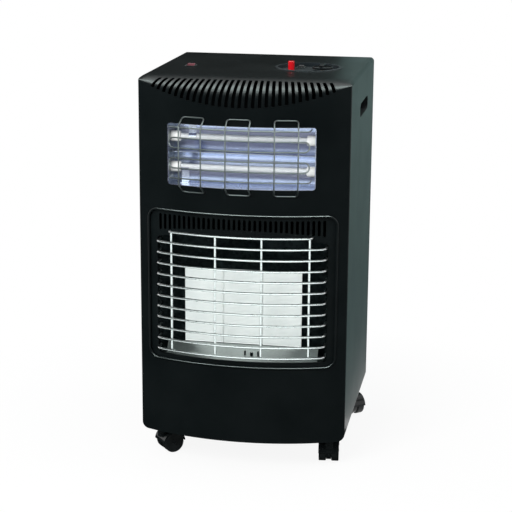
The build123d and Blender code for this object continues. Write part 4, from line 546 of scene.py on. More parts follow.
def join_meshes(name, meshes):
    """Several meshes as one, keeping their materials."""
    form = bmesh.new()
    for mesh in meshes:
        form.from_mesh(mesh)
    joined = cast(form, name)
    for finish in meshes[0].materials:
        joined.materials.append(finish)
    return joined


# %% [markdown]
# ## The burner guard
# Eleven bowed rods cross the burner, each with ends that turn back into the recess, and a shorter one runs
# above them. Four uprights stand behind. A rod's line is a large arc, two small arcs and two straight ends,
# so a few lines of trigonometry give it exactly, and the tree above repeats it. A small bead of weld sits
# at each crossing.

# %% Lines of the rods
ROD, ROD_BOW, ROD_COUNT, ROD_STEP = 4.6 * MM, 461 * MM, 11, 21.66 * MM
ROD_BEND, STRAP, STRAP_LAP = 9 * MM, 1.5 * MM, 0.3 * MM
TOP_ROD_HALF, TOP_ROD_RETURN = 139 * MM, 10 * MM
UPRIGHT_COUNT, UPRIGHT_STEP, UPRIGHT_LAP = 4, 89.8 * MM, 1 * MM
ROD_SIDES, BOW_POINTS, BEND_POINTS = 14, 41, 8

guard_low, guard_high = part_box("radiant_guard")
rod_axis_y = guard_low.y + ROD / 2 + ROD_BOW
rod_half = guard_high.x - STRAP + STRAP_LAP - ROD / 2
rod_bottom = guard_low.z + ROD / 2


def arc(centre, radius, start, end, count):
    """Points of an arc about centre in plan, angles from straight ahead towards the right, in radians."""
    angles = [start + (end - start) * i / (count - 1) for i in range(count)]
    return [(centre[0] + radius * math.sin(a), centre[1] - radius * math.cos(a)) for a in angles]


def bowed_line(half_span, bow, axis_y, bend, back_y, z):
    """The line of a bowed rod whose ends turn back."""
    bend_x = half_span - bend
    lean = math.asin(bend_x / (bow - bend))
    bend_y = axis_y - (bow - bend) * math.cos(lean)
    right_turn = arc((bend_x, bend_y), bend, lean, math.radians(90), BEND_POINTS)
    main = arc((0, axis_y), bow, -lean, lean, BOW_POINTS)
    left_turn = [(-x, y) for x, y in reversed(right_turn)]
    line = [(-half_span, back_y)] + left_turn + main[1:-1] + right_turn + [(half_span, back_y)]
    return [(x, y, z) for x, y in line]


top_back_y = rod_axis_y - math.sqrt(ROD_BOW ** 2 - TOP_ROD_HALF ** 2) + TOP_ROD_RETURN
rod_line = bowed_line(rod_half, ROD_BOW, rod_axis_y, ROD_BEND, guard_high.y, rod_bottom)
top_z = guard_high.z - ROD / 2
print("rods span", round(2 * rod_half / MM), "mm, top rod at z", round(top_z / MM), "mm")

# %% Sweep the rods and uprights
rods = sweep("burner_rods", [(rod_line, False)], ROD, ROD_SIDES, chromed_wire, ROD_COUNT, (0, 0, ROD_STEP))
top_line = bowed_line(TOP_ROD_HALF, ROD_BOW, rod_axis_y, ROD_BEND, top_back_y, top_z)
top_rod = sweep("burner_top_rod", [(top_line, False)], ROD, ROD_SIDES, chromed_wire)

upright_bow = ROD_BOW - ROD + UPRIGHT_LAP
upright_lines, crossings = [], []
for number in range(UPRIGHT_COUNT):
    x = (number - (UPRIGHT_COUNT - 1) / 2) * UPRIGHT_STEP
    y = rod_axis_y - math.sqrt(upright_bow ** 2 - x ** 2)
    upright_lines.append(([(x, y, rod_bottom), (x, y, (rod_bottom + top_z) / 2), (x, y, top_z)], False))
    for z in [rod_bottom + i * ROD_STEP for i in range(ROD_COUNT)] + [top_z]:
        crossings.append((x, y - (ROD - UPRIGHT_LAP) / 2, z))
uprights = sweep("burner_uprights", upright_lines, ROD, ROD_SIDES, chromed_wire)

# %% [markdown]
# ## Weld beads and side straps
# Resistance welding squeezes the hot metal out into a small collar where two rods touch. A small ball at
# each crossing, no two of quite one size, reads as just that. The points go in as a mesh with no edges,
# and the tree sets a ball on each. The straps at the two ends are flat strip, made as two thin bars with
# a soft edge.

# %% Build the bead tree and the guard
ROD_BEAD, BEAD_SPREAD, BEAD_TURN = 2.5 * MM, 0.15, (3.1, 3.1, 3.1)
STRAP_WIDTH, STRAP_EDGE = 9 * MM, 0.3

bead_tree, given, leaves = start_tree("weld_bead_at_each_point", {
    "Bead Size": "NodeSocketFloat", "Spread": "NodeSocketFloat", "Finish": "NodeSocketMaterial"})
ball = add_node(bead_tree, "GeometryNodeMeshIcoSphere", {"Radius": given["Bead Size"], "Subdivisions": 2})
soft = add_node(bead_tree, "GeometryNodeSetShadeSmooth", {"Geometry": ball.outputs["Mesh"]})
turn = add_node(bead_tree, "FunctionNodeRandomValue", {
    "Max": BEAD_TURN, "Seed": 7}, data_type="FLOAT_VECTOR")
least = add_node(bead_tree, "ShaderNodeMath", {0: 1.0, 1: given["Spread"]}, operation="SUBTRACT")
size = add_node(bead_tree, "FunctionNodeRandomValue", {"Max": 1.0, "Seed": 11}, data_type="FLOAT")
bead_tree.links.new(least.outputs[0], size.inputs[2])
beads_on = add_node(bead_tree, "GeometryNodeInstanceOnPoints", {
    "Points": given["Geometry"], "Instance": soft.outputs["Geometry"], "Rotation": turn.outputs[0],
    "Scale": size.outputs[1]})
end_tree(bead_tree, leaves, beads_on.outputs["Instances"], given["Finish"])


def weld(name, points, bead, finish):
    """A bead of weld at each point, each smaller than the largest by up to the spread."""
    return grow(name, path_mesh(name + "_points", [([p], False) for p in points]), bead_tree, {
        "Bead Size": bead, "Spread": BEAD_SPREAD, "Finish": finish})


def block(low, high):
    """The form of a block between two corners."""
    form = bmesh.new()
    bmesh.ops.create_cube(form, size=1.0)
    placed = Matrix.Translation((low + high) / 2) @ Matrix.Diagonal((*(high - low), 1))
    bmesh.ops.transform(form, matrix=placed, verts=form.verts)
    return form


guard_beads = weld("burner_weld_beads", crossings, ROD_BEAD, chromed_wire)
straps = []
for side in (-1, 1):
    near, far = sorted((side * (guard_high.x - STRAP), side * guard_high.x))
    low = Vector((near, guard_high.y - STRAP_WIDTH, rod_bottom - ROD / 2))
    high = Vector((far, guard_high.y, rod_bottom + (ROD_COUNT - 1) * ROD_STEP + ROD / 2))
    strap = round_edges(cast(block(low, high), "guard_strap"), STRAP_EDGE)
    strap.materials.append(aluminised)
    straps.append(strap)
guard_mesh = join_meshes("burner_guard_chromed", [rods, top_rod, uprights, guard_beads])
keep_piece("burner_guard_chromed", guard_mesh, None, "cabinet", slot_of["radiant_guard"], "radiant_guard")
strap_mesh = join_meshes("guard_straps", straps)
keep_piece("burner_guard_straps", strap_mesh, None, "cabinet", slot_of["radiant_guard"])
print("crossings:", len(crossings), "faces of the burner guard:", len(guard_mesh.polygons))

# %% [markdown]
# ## The guard of the quartz tubes
# Six thin wires follow the bow in front of the troughs. The upper and lower ones end in the opening, and
# the four between them are two long loops with round ends. Three wire loops stand over them and slant back
# to the panel. The loops lean with the bow, so their points are made once, flat, and turned about the bow's
# axis.

# %% Lines of the wires
WIRE, WIRE_HALF, WIRE_STEP, WIRE_BEND = 2.8 * MM, 134 * MM, 19.4 * MM, 8 * MM
PANEL_BOW, STANDOFF, LOOP_HALF, LOOP_CORNER, LOOP_STEP = 488 * MM, 22 * MM, 22.25 * MM, 6 * MM, 88 * MM
LOOP_SLANT, LOOP_SEAT, WIRE_LAP, BAR_TO_WIRE = 15.5 * MM, 0.1 * MM, 0.4 * MM, 29 * MM
WIRE_COUNT, WIRE_SIDES, CAP_STEPS, WIRE_BEAD, BEAD_SINK = 6, 12, 12, 1.55 * MM, 0.2 * MM

wires_low, wires_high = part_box("electric_guard")
bow_axis_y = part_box("front_panel")[0].y + PANEL_BOW
wire_bow = math.hypot(PANEL_BOW + STANDOFF, LOOP_HALF) - WIRE + WIRE_LAP
loop_low, loop_high = wires_low.z + WIRE / 2, wires_high.z - WIRE / 2
wire_bottom = loop_low + BAR_TO_WIRE


def long_loop(z0, z1):
    """Two bowed runs joined by a round end at each side."""
    bend = (z1 - z0) / 2
    lean = math.asin((WIRE_HALF - bend) / wire_bow)
    run = arc((0, bow_axis_y), wire_bow, -lean, lean, BOW_POINTS)
    end = run[-1]
    turns = [math.radians(-90 + 180 * i / CAP_STEPS) for i in range(1, CAP_STEPS)]
    cap = [(end[0] + bend * math.cos(t) * math.cos(lean), end[1] + bend * math.cos(t) * math.sin(lean),
            (z0 + z1) / 2 + bend * math.sin(t)) for t in turns]
    lower = [(x, y, z0) for x, y in run]
    upper = [(x, y, z1) for x, y in reversed(run)]
    other = [(-x, y, z) for x, y, z in reversed(cap)]
    return lower + cap + upper + other


def rounded_path(corners, radius, steps=5):
    """A closed line through those corners, each one turned in an arc of that radius."""
    points = []
    for number, corner in enumerate(corners):
        to_last = (corners[number - 1] - corner).normalized()
        to_next = (corners[(number + 1) % len(corners)] - corner).normalized()
        half_angle = to_last.angle(to_next) / 2
        centre = corner + (to_last + to_next).normalized() * radius / math.sin(half_angle)
        first = corner + to_last * radius / math.tan(half_angle) - centre
        last = corner + to_next * radius / math.tan(half_angle) - centre
        points += [centre + radius * first.slerp(last, i / steps) for i in range(steps + 1)]
    return points


def turned_about_the_bow(angle):
    """The turn that brings a point at the middle of the front round to that angle."""
    return Matrix.Translation((0, bow_axis_y, 0)) @ Matrix.Rotation(angle, 4, "Z")


def standing_loop(angle):
    """A wire loop over the others, whose slanted ends bring its two bars onto the panel."""
    front, back = -(PANEL_BOW + STANDOFF), -PANEL_BOW - WIRE / 2 - LOOP_SEAT
    low, high = loop_low + LOOP_SLANT, loop_high - LOOP_SLANT
    corners = [(-1, front, low), (-1, front, high), (-1, back, loop_high), (1, back, loop_high),
               (1, front, high), (1, front, low), (1, back, loop_low), (-1, back, loop_low)]
    line = rounded_path([Vector((side * LOOP_HALF, y, z)) for side, y, z in corners], LOOP_CORNER)
    spin = turned_about_the_bow(angle)
    return [spin @ point for point in line]


loop_angles = [math.asin(i * LOOP_STEP / PANEL_BOW) for i in (-1, 0, 1)]
print("wires lie on a bow of", round(wire_bow / MM, 1), "mm, from z", round(wire_bottom / MM, 1), "mm")

# %% Sweep the wires and loops
wire_back_y = bow_axis_y - math.sqrt(PANEL_BOW ** 2 - WIRE_HALF ** 2) + WIRE_BEND
end_line = bowed_line(WIRE_HALF, wire_bow, bow_axis_y, WIRE_BEND, wire_back_y, wire_bottom)
low_loop = long_loop(wire_bottom + WIRE_STEP, wire_bottom + 2 * WIRE_STEP)
tall_loops = [(standing_loop(angle), True) for angle in loop_angles]
end_rise, loop_rise = (0, 0, (WIRE_COUNT - 1) * WIRE_STEP), (0, 0, 2 * WIRE_STEP)
guard_parts = [
    sweep("end_wires", [(end_line, False)], WIRE, WIRE_SIDES, nickel_wire, 2, end_rise),
    sweep("long_loops", [(low_loop, True)], WIRE, WIRE_SIDES, nickel_wire, 2, loop_rise),
    sweep("standing_loops", tall_loops, WIRE, WIRE_SIDES, nickel_wire),
]
spots = []
for angle in loop_angles:
    spin = turned_about_the_bow(angle)
    for side in (-1, 1):
        lean = math.asin(side * LOOP_HALF / wire_bow)
        point = Vector((wire_bow * math.sin(lean), -wire_bow * math.cos(lean) - WIRE / 2 + BEAD_SINK, 0))
        for number in range(WIRE_COUNT):
            spots.append(spin @ point + Vector((0, 0, wire_bottom + number * WIRE_STEP)))
guard_parts.append(weld("wire_weld_beads", spots, WIRE_BEAD, nickel_wire))
wire_guard = join_meshes("tube_guard_nickelled", guard_parts)
keep_piece("tube_guard_nickelled", wire_guard, None, "cabinet", slot_of["electric_guard"], "electric_guard")
print("faces of the tube guard:", len(wire_guard.polygons))

# %% [markdown]
# ## The surround's rolled lip and the ledge below the tiles
# The pressed surround ends in a small rolled lip all round, and light from above draws a bright line along
# it. It is a round bead on the bow, swept by the same tree along a rounded rectangle. Below the tiles a
# bright ledge slopes forward to the recess's lower edge: a strip between a straight line at the back and a
# line on the bow in front.

# %% Roll the lip and lay the ledge
LIP, BEAD, BEAD_PROUD, LIP_CORNER = 3.2 * MM, 4.2 * MM, 1.0 * MM, 21 * MM
lip_low, lip_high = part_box("radiant_surround")


def on_bow(x, z, proud):
    """A point of the front's bow, that far in front of it."""
    return Vector((x, bow_axis_y - math.sqrt((PANEL_BOW + proud) ** 2 - x ** 2), z))


def divide(start, end, steps):
    """The points that divide a span (x, z), without its two ends."""
    (x0, z0), (x1, z1) = start, end
    return [(x0 + (x1 - x0) * i / steps, z0 + (z1 - z0) * i / steps) for i in range(1, steps)]


def rounded_rectangle(half_width, low_z, high_z, radius, span_steps=24, corner_steps=8):
    """Points (x, z) round a rectangle with rounded corners."""
    centres = [(half_width - radius, high_z - radius, 0), (radius - half_width, high_z - radius, 90),
               (radius - half_width, low_z + radius, 180), (half_width - radius, low_z + radius, 270)]
    points = []
    for x, z, first in centres:
        turns = [math.radians(first + 90 * i / corner_steps) for i in range(corner_steps + 1)]
        corner = [(x + radius * math.cos(t), z + radius * math.sin(t)) for t in turns]
        if points:
            points += divide(points[-1], corner[0], span_steps)
        points += corner
    return points + divide(points[-1], points[0], span_steps)


half_lip = LIP / 2
lip_line = rounded_rectangle(lip_high.x - half_lip, lip_low.z + half_lip, lip_high.z - half_lip,
                             LIP_CORNER - half_lip)
lip_path = [on_bow(x, z, BEAD_PROUD) for x, z in lip_line]
lip = sweep("surround_lip", [(lip_path, True)], BEAD, ROD_SIDES, satin_enamel)
keep_piece("surround_lip_rolled", lip, None, "cabinet", slot_of["radiant_surround"])

LEDGE_HALF, LEDGE_STEPS, LEDGE_BACK_DROP = 150 * MM, 30, 1 * MM
LEDGE_FRONT_RISE, LEDGE_FRONT_SINK = 1.5 * MM, 7 * MM
tiles_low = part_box("plaque_centre")[0]
ledge_front_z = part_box("burner_pan")[0].z + LEDGE_FRONT_RISE
ledge_points, ledge_faces = [], []
for number in range(LEDGE_STEPS + 1):
    x = LEDGE_HALF * (2 * number / LEDGE_STEPS - 1)
    ledge_points.append((x, tiles_low.y, tiles_low.z - LEDGE_BACK_DROP))
    ledge_points.append(on_bow(x, ledge_front_z, -LEDGE_FRONT_SINK))
for number in range(LEDGE_STEPS):
    ledge_faces.append((2 * number, 2 * number + 1, 2 * number + 3, 2 * number + 2))
ledge = bpy.data.meshes.new("burner_ledge")
ledge.from_pydata(ledge_points, [], ledge_faces)
smooth_by_angle(ledge)
keep_piece("burner_ledge", ledge, bright_zinc, "cabinet", slot_of["burner_pan"])
print("lip points:", len(lip_line), "ledge faces up:", ledge.polygons[0].normal.z > 0)

# %% [markdown]
# ## Pierced burner tiles
# A burner tile is pierced by thousands of fine holes, and the gas burns just at their mouths. The tree lays
# two grids of points into a honeycomb, sets a six-sided face on each, draws each face in a little and
# pushes it back: that is one hole. The real holes are about 1.3 mm wide; these are 2 mm, on a pitch of 3.1
# mm, so that they show. The honeycomb's ragged border hides under a plain rim, which every tile has where
# it is cemented in.

# %% Build the honeycomb tree
tile_tree, given, leaves = start_tree("pierced_honeycomb", {
    "Columns": "NodeSocketInt", "Rows": "NodeSocketInt", "Pitch": "NodeSocketFloat",
    "Wall Share": "NodeSocketFloat", "Hole Depth": "NodeSocketFloat", "Finish": "NodeSocketMaterial"})
row_gap = add_node(tile_tree, "ShaderNodeMath", {
    0: given["Pitch"], 1: math.sqrt(3)}, operation="MULTIPLY")
across = add_node(tile_tree, "ShaderNodeMath", {0: given["Columns"], 1: 1.0}, operation="SUBTRACT")
width = add_node(tile_tree, "ShaderNodeMath", {
    0: across.outputs[0], 1: given["Pitch"]}, operation="MULTIPLY")
upright_steps = add_node(tile_tree, "ShaderNodeMath", {0: given["Rows"], 1: 1.0}, operation="SUBTRACT")
height = add_node(tile_tree, "ShaderNodeMath", {
    0: upright_steps.outputs[0], 1: row_gap.outputs[0]}, operation="MULTIPLY")
lattice = add_node(tile_tree, "GeometryNodeMeshGrid", {
    "Size X": width.outputs[0], "Size Y": height.outputs[0],
    "Vertices X": given["Columns"], "Vertices Y": given["Rows"]})
half_step = add_node(tile_tree, "ShaderNodeCombineXYZ")
for axis, source in (("X", given["Pitch"]), ("Y", row_gap.outputs[0])):
    half = add_node(tile_tree, "ShaderNodeMath", {0: source, 1: 0.5}, operation="MULTIPLY")
    tile_tree.links.new(half.outputs[0], half_step.inputs[axis])
shifted = add_node(tile_tree, "GeometryNodeTransform", {
    "Geometry": lattice.outputs["Mesh"], "Translation": half_step.outputs["Vector"]})
both = add_node(tile_tree, "GeometryNodeJoinGeometry")
tile_tree.links.new(lattice.outputs["Mesh"], both.inputs["Geometry"])
tile_tree.links.new(shifted.outputs["Geometry"], both.inputs["Geometry"])
cell_radius = add_node(tile_tree, "ShaderNodeMath", {
    0: given["Pitch"], 1: 1 / math.sqrt(3)}, operation="MULTIPLY")
cell = add_node(tile_tree, "GeometryNodeMeshCircle", {
    "Vertices": 6, "Radius": cell_radius.outputs[0]}, fill_type="NGON")
turned = add_node(tile_tree, "GeometryNodeTransform", {
    "Geometry": cell.outputs["Mesh"], "Rotation": (0, 0, math.radians(30))})
laid = add_node(tile_tree, "GeometryNodeInstanceOnPoints", {
    "Points": both.outputs["Geometry"], "Instance": turned.outputs["Geometry"]})
flat_cells = add_node(tile_tree, "GeometryNodeRealizeInstances", {
    "Geometry": laid.outputs["Instances"]})
ring = add_node(tile_tree, "GeometryNodeExtrudeMesh", {
    "Mesh": flat_cells.outputs["Geometry"], "Offset Scale": 0.0})
drawn_in = add_node(tile_tree, "GeometryNodeScaleElements", {
    "Geometry": ring.outputs["Mesh"], "Selection": ring.outputs["Top"], "Scale": given["Wall Share"]})
pushed = add_node(tile_tree, "GeometryNodeExtrudeMesh", {
    "Mesh": drawn_in.outputs["Geometry"], "Selection": ring.outputs["Top"]})
inward = add_node(tile_tree, "ShaderNodeMath", {0: given["Hole Depth"], 1: -1.0}, operation="MULTIPLY")
tile_tree.links.new(inward.outputs[0], pushed.inputs["Offset Scale"])
end_tree(tile_tree, leaves, pushed.outputs["Mesh"], given["Finish"])
print("honeycomb nodes:", len(tile_tree.nodes))

# %% Make the three tiles
HOLE_PITCH, RIM, TILE_EDGE, WALL_SHARE, HOLE_DEPTH = 3.1 * MM, 4 * MM, 0.6, 0.64, 2 * MM
ROW_PITCH, FACE_SINK, HONEYCOMB_SINK = HOLE_PITCH * math.sqrt(3), 3 * MM, 0.35 * MM
tile_low, tile_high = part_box("plaque_centre")
columns = int((tile_high.x - tile_low.x - 2 * RIM) / HOLE_PITCH) + 2
rows = int((tile_high.z - tile_low.z - 2 * RIM) / ROW_PITCH) + 1
honeycomb = grow("tile_honeycomb", bpy.data.meshes.new("seed_point"), tile_tree, {
    "Columns": columns, "Rows": rows, "Pitch": HOLE_PITCH, "Wall Share": WALL_SHARE,
    "Hole Depth": HOLE_DEPTH, "Finish": cordierite})
upright = Matrix.Rotation(math.radians(90), 4, "X")
# The second grid stands half a pitch off, so a quarter brings the two together to the middle.
centred = Matrix.Translation((-HOLE_PITCH / 4, -ROW_PITCH / 4, 0))


def tile_rim(low, high):
    """A tile's plain border: a block whose face is sunk inside the rim, where the honeycomb lies."""
    form = block(low, high)
    front = min(form.faces, key=lambda face: face.calc_center_median().y)
    bmesh.ops.inset_individual(form, faces=[front], thickness=RIM)
    bmesh.ops.translate(form, verts=front.verts, vec=(0, FACE_SINK, 0))
    mesh = round_edges(cast(form, "tile_rim"), TILE_EDGE)
    smooth_by_angle(mesh)
    mesh.materials.append(cordierite)
    return mesh


for node in ("plaque_left", "plaque_centre", "plaque_right"):
    low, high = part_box(node)
    field = honeycomb.copy()
    middle = (low + high) / 2
    seat = Matrix.Translation((middle.x, low.y + HONEYCOMB_SINK, middle.z))
    field.transform(seat @ upright @ centred)
    tile = join_meshes(node + "_pierced", [field, tile_rim(low, high)])
    keep_piece(node + "_pierced", tile, None, "cabinet", slot_of[node], node)
print("holes in each tile:", 2 * columns * rows)

# %% [markdown]
# ## The elements inside the quartz tubes
# The element is resistance wire wound into a long spring that lies loose in its tube. A Spiral curve of one
# radius is a helix, and a fine circle swept along it is the wire. The real one has some two hundred turns;
# this one has fewer, on a 3.2 mm pitch, which still looks like a spring through the milky wall.

# %% Wind the elements
COIL, COIL_PITCH, COIL_WIRE, TUBE_PLAY = 8 * MM, 3.2 * MM, 0.9 * MM, 6 * MM
POINTS_PER_TURN, COIL_SIDES = 14, 6

coil_tree, given, leaves = start_tree("wound_element", {
    "Turns": "NodeSocketFloat", "Coil Radius": "NodeSocketFloat", "Length": "NodeSocketFloat",
    "Wire Diameter": "NodeSocketFloat", "Finish": "NodeSocketMaterial"})
helix = add_node(coil_tree, "GeometryNodeCurveSpiral", {
    "Resolution": POINTS_PER_TURN, "Rotations": given["Turns"], "Start Radius": given["Coil Radius"],
    "End Radius": given["Coil Radius"], "Height": given["Length"]})
half_wire = add_node(coil_tree, "ShaderNodeMath", {0: given["Wire Diameter"], 1: 0.5}, operation="MULTIPLY")
section = add_node(coil_tree, "GeometryNodeCurvePrimitiveCircle", {
    "Resolution": COIL_SIDES, "Radius": half_wire.outputs[0]})
wound = add_node(coil_tree, "GeometryNodeCurveToMesh", {
    "Curve": helix.outputs["Curve"], "Profile Curve": section.outputs["Curve"], "Fill Caps": True})
soft = add_node(coil_tree, "GeometryNodeSetShadeSmooth", {"Geometry": wound.outputs["Mesh"]})
end_tree(coil_tree, leaves, soft.outputs["Geometry"], given["Finish"])

lying = Matrix.Rotation(math.radians(90), 4, "Y")
elements = []
for node in ("lower_quartz_tube", "upper_quartz_tube"):
    low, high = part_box(node)
    middle, length = (low + high) / 2, high.x - low.x - TUBE_PLAY
    element = grow(node + "_element", bpy.data.meshes.new("seed"), coil_tree, {
        "Turns": length / COIL_PITCH, "Coil Radius": (COIL - COIL_WIRE) / 2, "Length": length,
        "Wire Diameter": COIL_WIRE, "Finish": heater_wire})
    element.transform(Matrix.Translation((middle.x - length / 2, middle.y, middle.z)) @ lying)
    elements.append(element)
wound_mesh = join_meshes("wound_elements", elements)
keep_piece("wound_elements", wound_mesh, None, "cabinet", slot_of["heating_coils"], "heating_coils")

# %% [markdown]
# ## Screw heads
# Small pan-head screws hold the rear rail, and two thumb screws hold the cover. One head is modelled once:
# a lathe profile spun round, with a cross pressed into it. The tree sets it on each point and turns it at
# random, because nobody lines screws up. The thumb screws keep the solids' own shape, with their edges
# rounded.

# %% Model one pan head and set it at each screw
HEAD_RADIUS, AROUND, HEAD_TURN = 3.6 * MM, 24, 0.7
CROSS_ARM, CROSS_HALF, CROSS_TAPER, CROSS_FLOOR = 0.5, 0.13, 0.8, 0.45
HEAD_PROFILE = [(1, 0.0), (1, 0.3), (0.86, 0.72), (0.62, 0.94)]


def edges_round(form, corners):
    """The edges between the points of a closed row."""
    return [form.edges.get((corners[i], corners[(i + 1) % len(corners)])) for i in range(len(corners))]


def pan_head(radius, height):
    """A domed head facing -Y with a cross recess, its seat at y = 0."""
    form = bmesh.new()
    turns = [2 * math.pi * i / AROUND for i in range(AROUND)]
    rings = []
    for share, rise in HEAD_PROFILE:
        r = radius * share
        rings.append([form.verts.new((r * math.cos(t), rise * height, r * math.sin(t))) for t in turns])
    for inner, outer in zip(rings[1:], rings[:-1]):
        for i in range(AROUND):
            j = (i + 1) % AROUND
            form.faces.new((outer[i], inner[i], inner[j], outer[j]))
    arm, half = radius * CROSS_ARM, radius * CROSS_HALF
    quarter = [(arm, half), (half, half), (half, arm)]
    cross = quarter + [(-x, z) for x, z in reversed(quarter)]
    cross += [(-x, -z) for x, z in cross]
    top = [form.verts.new((x, height, z)) for x, z in cross]
    deep = [form.verts.new((x * CROSS_TAPER, height * CROSS_FLOOR, z * CROSS_TAPER)) for x, z in cross]
    form.faces.new(deep)
    for i in range(len(cross)):
        j = (i + 1) % len(cross)
        form.faces.new((top[i], top[j], deep[j], deep[i]))
    bmesh.ops.bridge_loops(form, edges=edges_round(form, rings[-1]) + edges_round(form, top))
    form.faces.new(rings[0])
    bmesh.ops.recalc_face_normals(form, faces=form.faces)
    mesh = cast(form, "pan_head")
    smooth_by_angle(mesh)
    return mesh


screw_tree, given, leaves = start_tree("screw_at_each_point", {
    "Screw": "NodeSocketObject", "Finish": "NodeSocketMaterial"})
head = add_node(screw_tree, "GeometryNodeObjectInfo", {"Object": given["Screw"]})
turn = add_node(screw_tree, "FunctionNodeRandomValue", {
    "Min": (0, -HEAD_TURN, 0), "Max": (0, HEAD_TURN, 0), "Seed": 3}, data_type="FLOAT_VECTOR")
set_on = add_node(screw_tree, "GeometryNodeInstanceOnPoints", {
    "Points": given["Geometry"], "Instance": head.outputs["Geometry"], "Rotation": turn.outputs[0]})
end_tree(screw_tree, leaves, set_on.outputs["Instances"], given["Finish"])

low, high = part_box("casing_screws")
screw = bpy.data.objects.new("pan_head_master", pan_head(HEAD_RADIUS, high.y - low.y))
seats = [(x, low.y, z) for x in (low.x + HEAD_RADIUS, high.x - HEAD_RADIUS)
         for z in (low.z + HEAD_RADIUS, high.z - HEAD_RADIUS)]
heads = grow("rail_screw_heads", path_mesh("seats", [([p], False) for p in seats]), screw_tree, {
    "Screw": screw, "Finish": bright_zinc})
keep_piece("rail_screw_heads", heads, None, "cabinet", slot_of["casing_screws"], "casing_screws")
dress("cover_screws", bright_zinc, 0.3)
print("screw seats:", len(seats))

# %% [markdown]
# ## The studio
# A white floor, a white background and soft light. The background's white belongs to what the camera and
# mirrors see, through Light Path, and adds no light to the heater. Near the heater the floor keeps a
# share of its own paint, which takes the shadow; further out it is plain white. The studio's own sizes
# are in metres.
#
# A near-black enamel is shown by what it mirrors, and nearly edge on it mirrors almost everything. So, as
# a photographer does, dark velvet goes where the front and the top would mirror the white room: on the
# floor in front, as a canopy over it, and as a curtain in front and another behind. A grey-green card at
# the rear right is what the right side and the right end of the top mirror. The gaps between the curtains
# leave the left side, and most views of the back, some plain white to mirror. Cloth and card show in
# reflections only. None of this is part of the object.

# %% White floor and matt cloth
SHADOW_REACH, CLEAR_REACH, SHADOW_SHARE, WEAVE_MM = 0.35, 0.8, 0.1, 40


def seen_in_the_picture(tree):
    """1 for rays from the camera, a mirror or clear glass, and 0 for the light that a surface gathers."""
    path = add_node(tree, "ShaderNodeLightPath").outputs
    seen = add_node(tree, "ShaderNodeMath", {
        0: path["Is Camera Ray"], 1: path["Is Glossy Ray"]}, operation="ADD")
    seen = add_node(tree, "ShaderNodeMath", {
        0: seen.outputs[0], 1: path["Is Transmission Ray"]}, operation="ADD", use_clamp=True)
    return seen.outputs[0]


def white_floor():
    """A floor that is white for the camera and in reflections, and takes a shadow near the heater."""
    material = bpy.data.materials.new("white_studio_floor")
    material.use_nodes = True
    tree = material.node_tree
    tree.nodes.clear()
    place = add_node(tree, "ShaderNodeTexCoord").outputs["Object"]
    away = add_node(tree, "ShaderNodeVectorMath", {0: place}, operation="LENGTH")
    share = add_node(tree, "ShaderNodeMapRange", {
        "Value": away.outputs["Value"], "From Min": SHADOW_REACH, "From Max": CLEAR_REACH,
        "To Min": 1 - SHADOW_SHARE, "To Max": 1.0})
    share = add_node(tree, "ShaderNodeMath", {
        0: seen_in_the_picture(tree), 1: share.outputs["Result"]}, operation="MULTIPLY")
    paint = add_node(tree, "ShaderNodeBsdfDiffuse", {"Color": linear("#f2f2f0")})
    glow = add_node(tree, "ShaderNodeEmission", {"Color": linear("#ffffff"), "Strength": 1.0})
    both = add_node(tree, "ShaderNodeMixShader", {
        0: share.outputs[0], 1: paint.outputs[0], 2: glow.outputs[0]})
    add_node(tree, "ShaderNodeOutputMaterial", {"Surface": both.outputs[0]})
    return material


def matt_cloth(name, dark, pale):
    """Matt cloth between two colours, with a coarse weave."""
    material, tree, shader, place = start_finish(name, Specular_IOR_Level=0.0, Roughness=1.0)
    weave = add_node(tree, "ShaderNodeTexNoise", {"Vector": place, "Scale": per_mm(WEAVE_MM), "Detail": 2.0})
    tone = add_node(tree, "ShaderNodeValToRGB", {"Fac": weave.outputs["Fac"]})
    tone.color_ramp.elements[0].color, tone.color_ramp.elements[1].color = linear(dark), linear(pale)
    tree.links.new(tone.outputs["Color"], shader.inputs["Base Color"])
    return material


print("floor is plain white beyond", CLEAR_REACH, "m")

# %% Set up the floor, velvet, curtains and card
FLOOR_REACH, VELVET_REACH, VELVET_BACK, CLOTH_LIFT = 30.0, 7.0, 0.05, 0.002
CANOPY_HALF, CANOPY_FRONT, CANOPY_BACK, CANOPY_HEIGHT = 5.0, -6.0, 0.0, 3.4
CURTAIN_RADIUS, CURTAIN_HEIGHT, CURTAIN_BAY = 6.0, 4.8, 8
CARD_LEFT, CARD_RIGHT, CARD_FRONT, CARD_BACK, CARD_LIFT = 0.24, 1.3, 0.1, 1.2, 0.004
CARD_LOW_TOP, CARD_TALL_TOP, CARD_TALL_LEFT = 0.8, 1.7, 0.02


def stage_piece(name, points, faces, finish):
    """A plain mesh of the studio."""
    mesh = bpy.data.meshes.new(name)
    mesh.from_pydata(points, [], faces)
    mesh.materials.append(finish)
    piece = bpy.data.objects.new(name, mesh)
    bpy.context.scene.collection.objects.link(piece)
    return piece


def only_mirrored(piece):
    """Leaves the piece in reflections alone."""
    piece.visible_camera = piece.visible_diffuse = piece.visible_shadow = False
    piece.visible_transmission = piece.visible_volume_scatter = False
    return piece


def level_sheet(name, half_width, front, back, z, finish):
    """A level rectangle of the studio."""
    points = [(-half_width, front, z), (half_width, front, z), (half_width, back, z), (-half_width, back, z)]
    return stage_piece(name, points, [(0, 1, 2, 3)], finish)


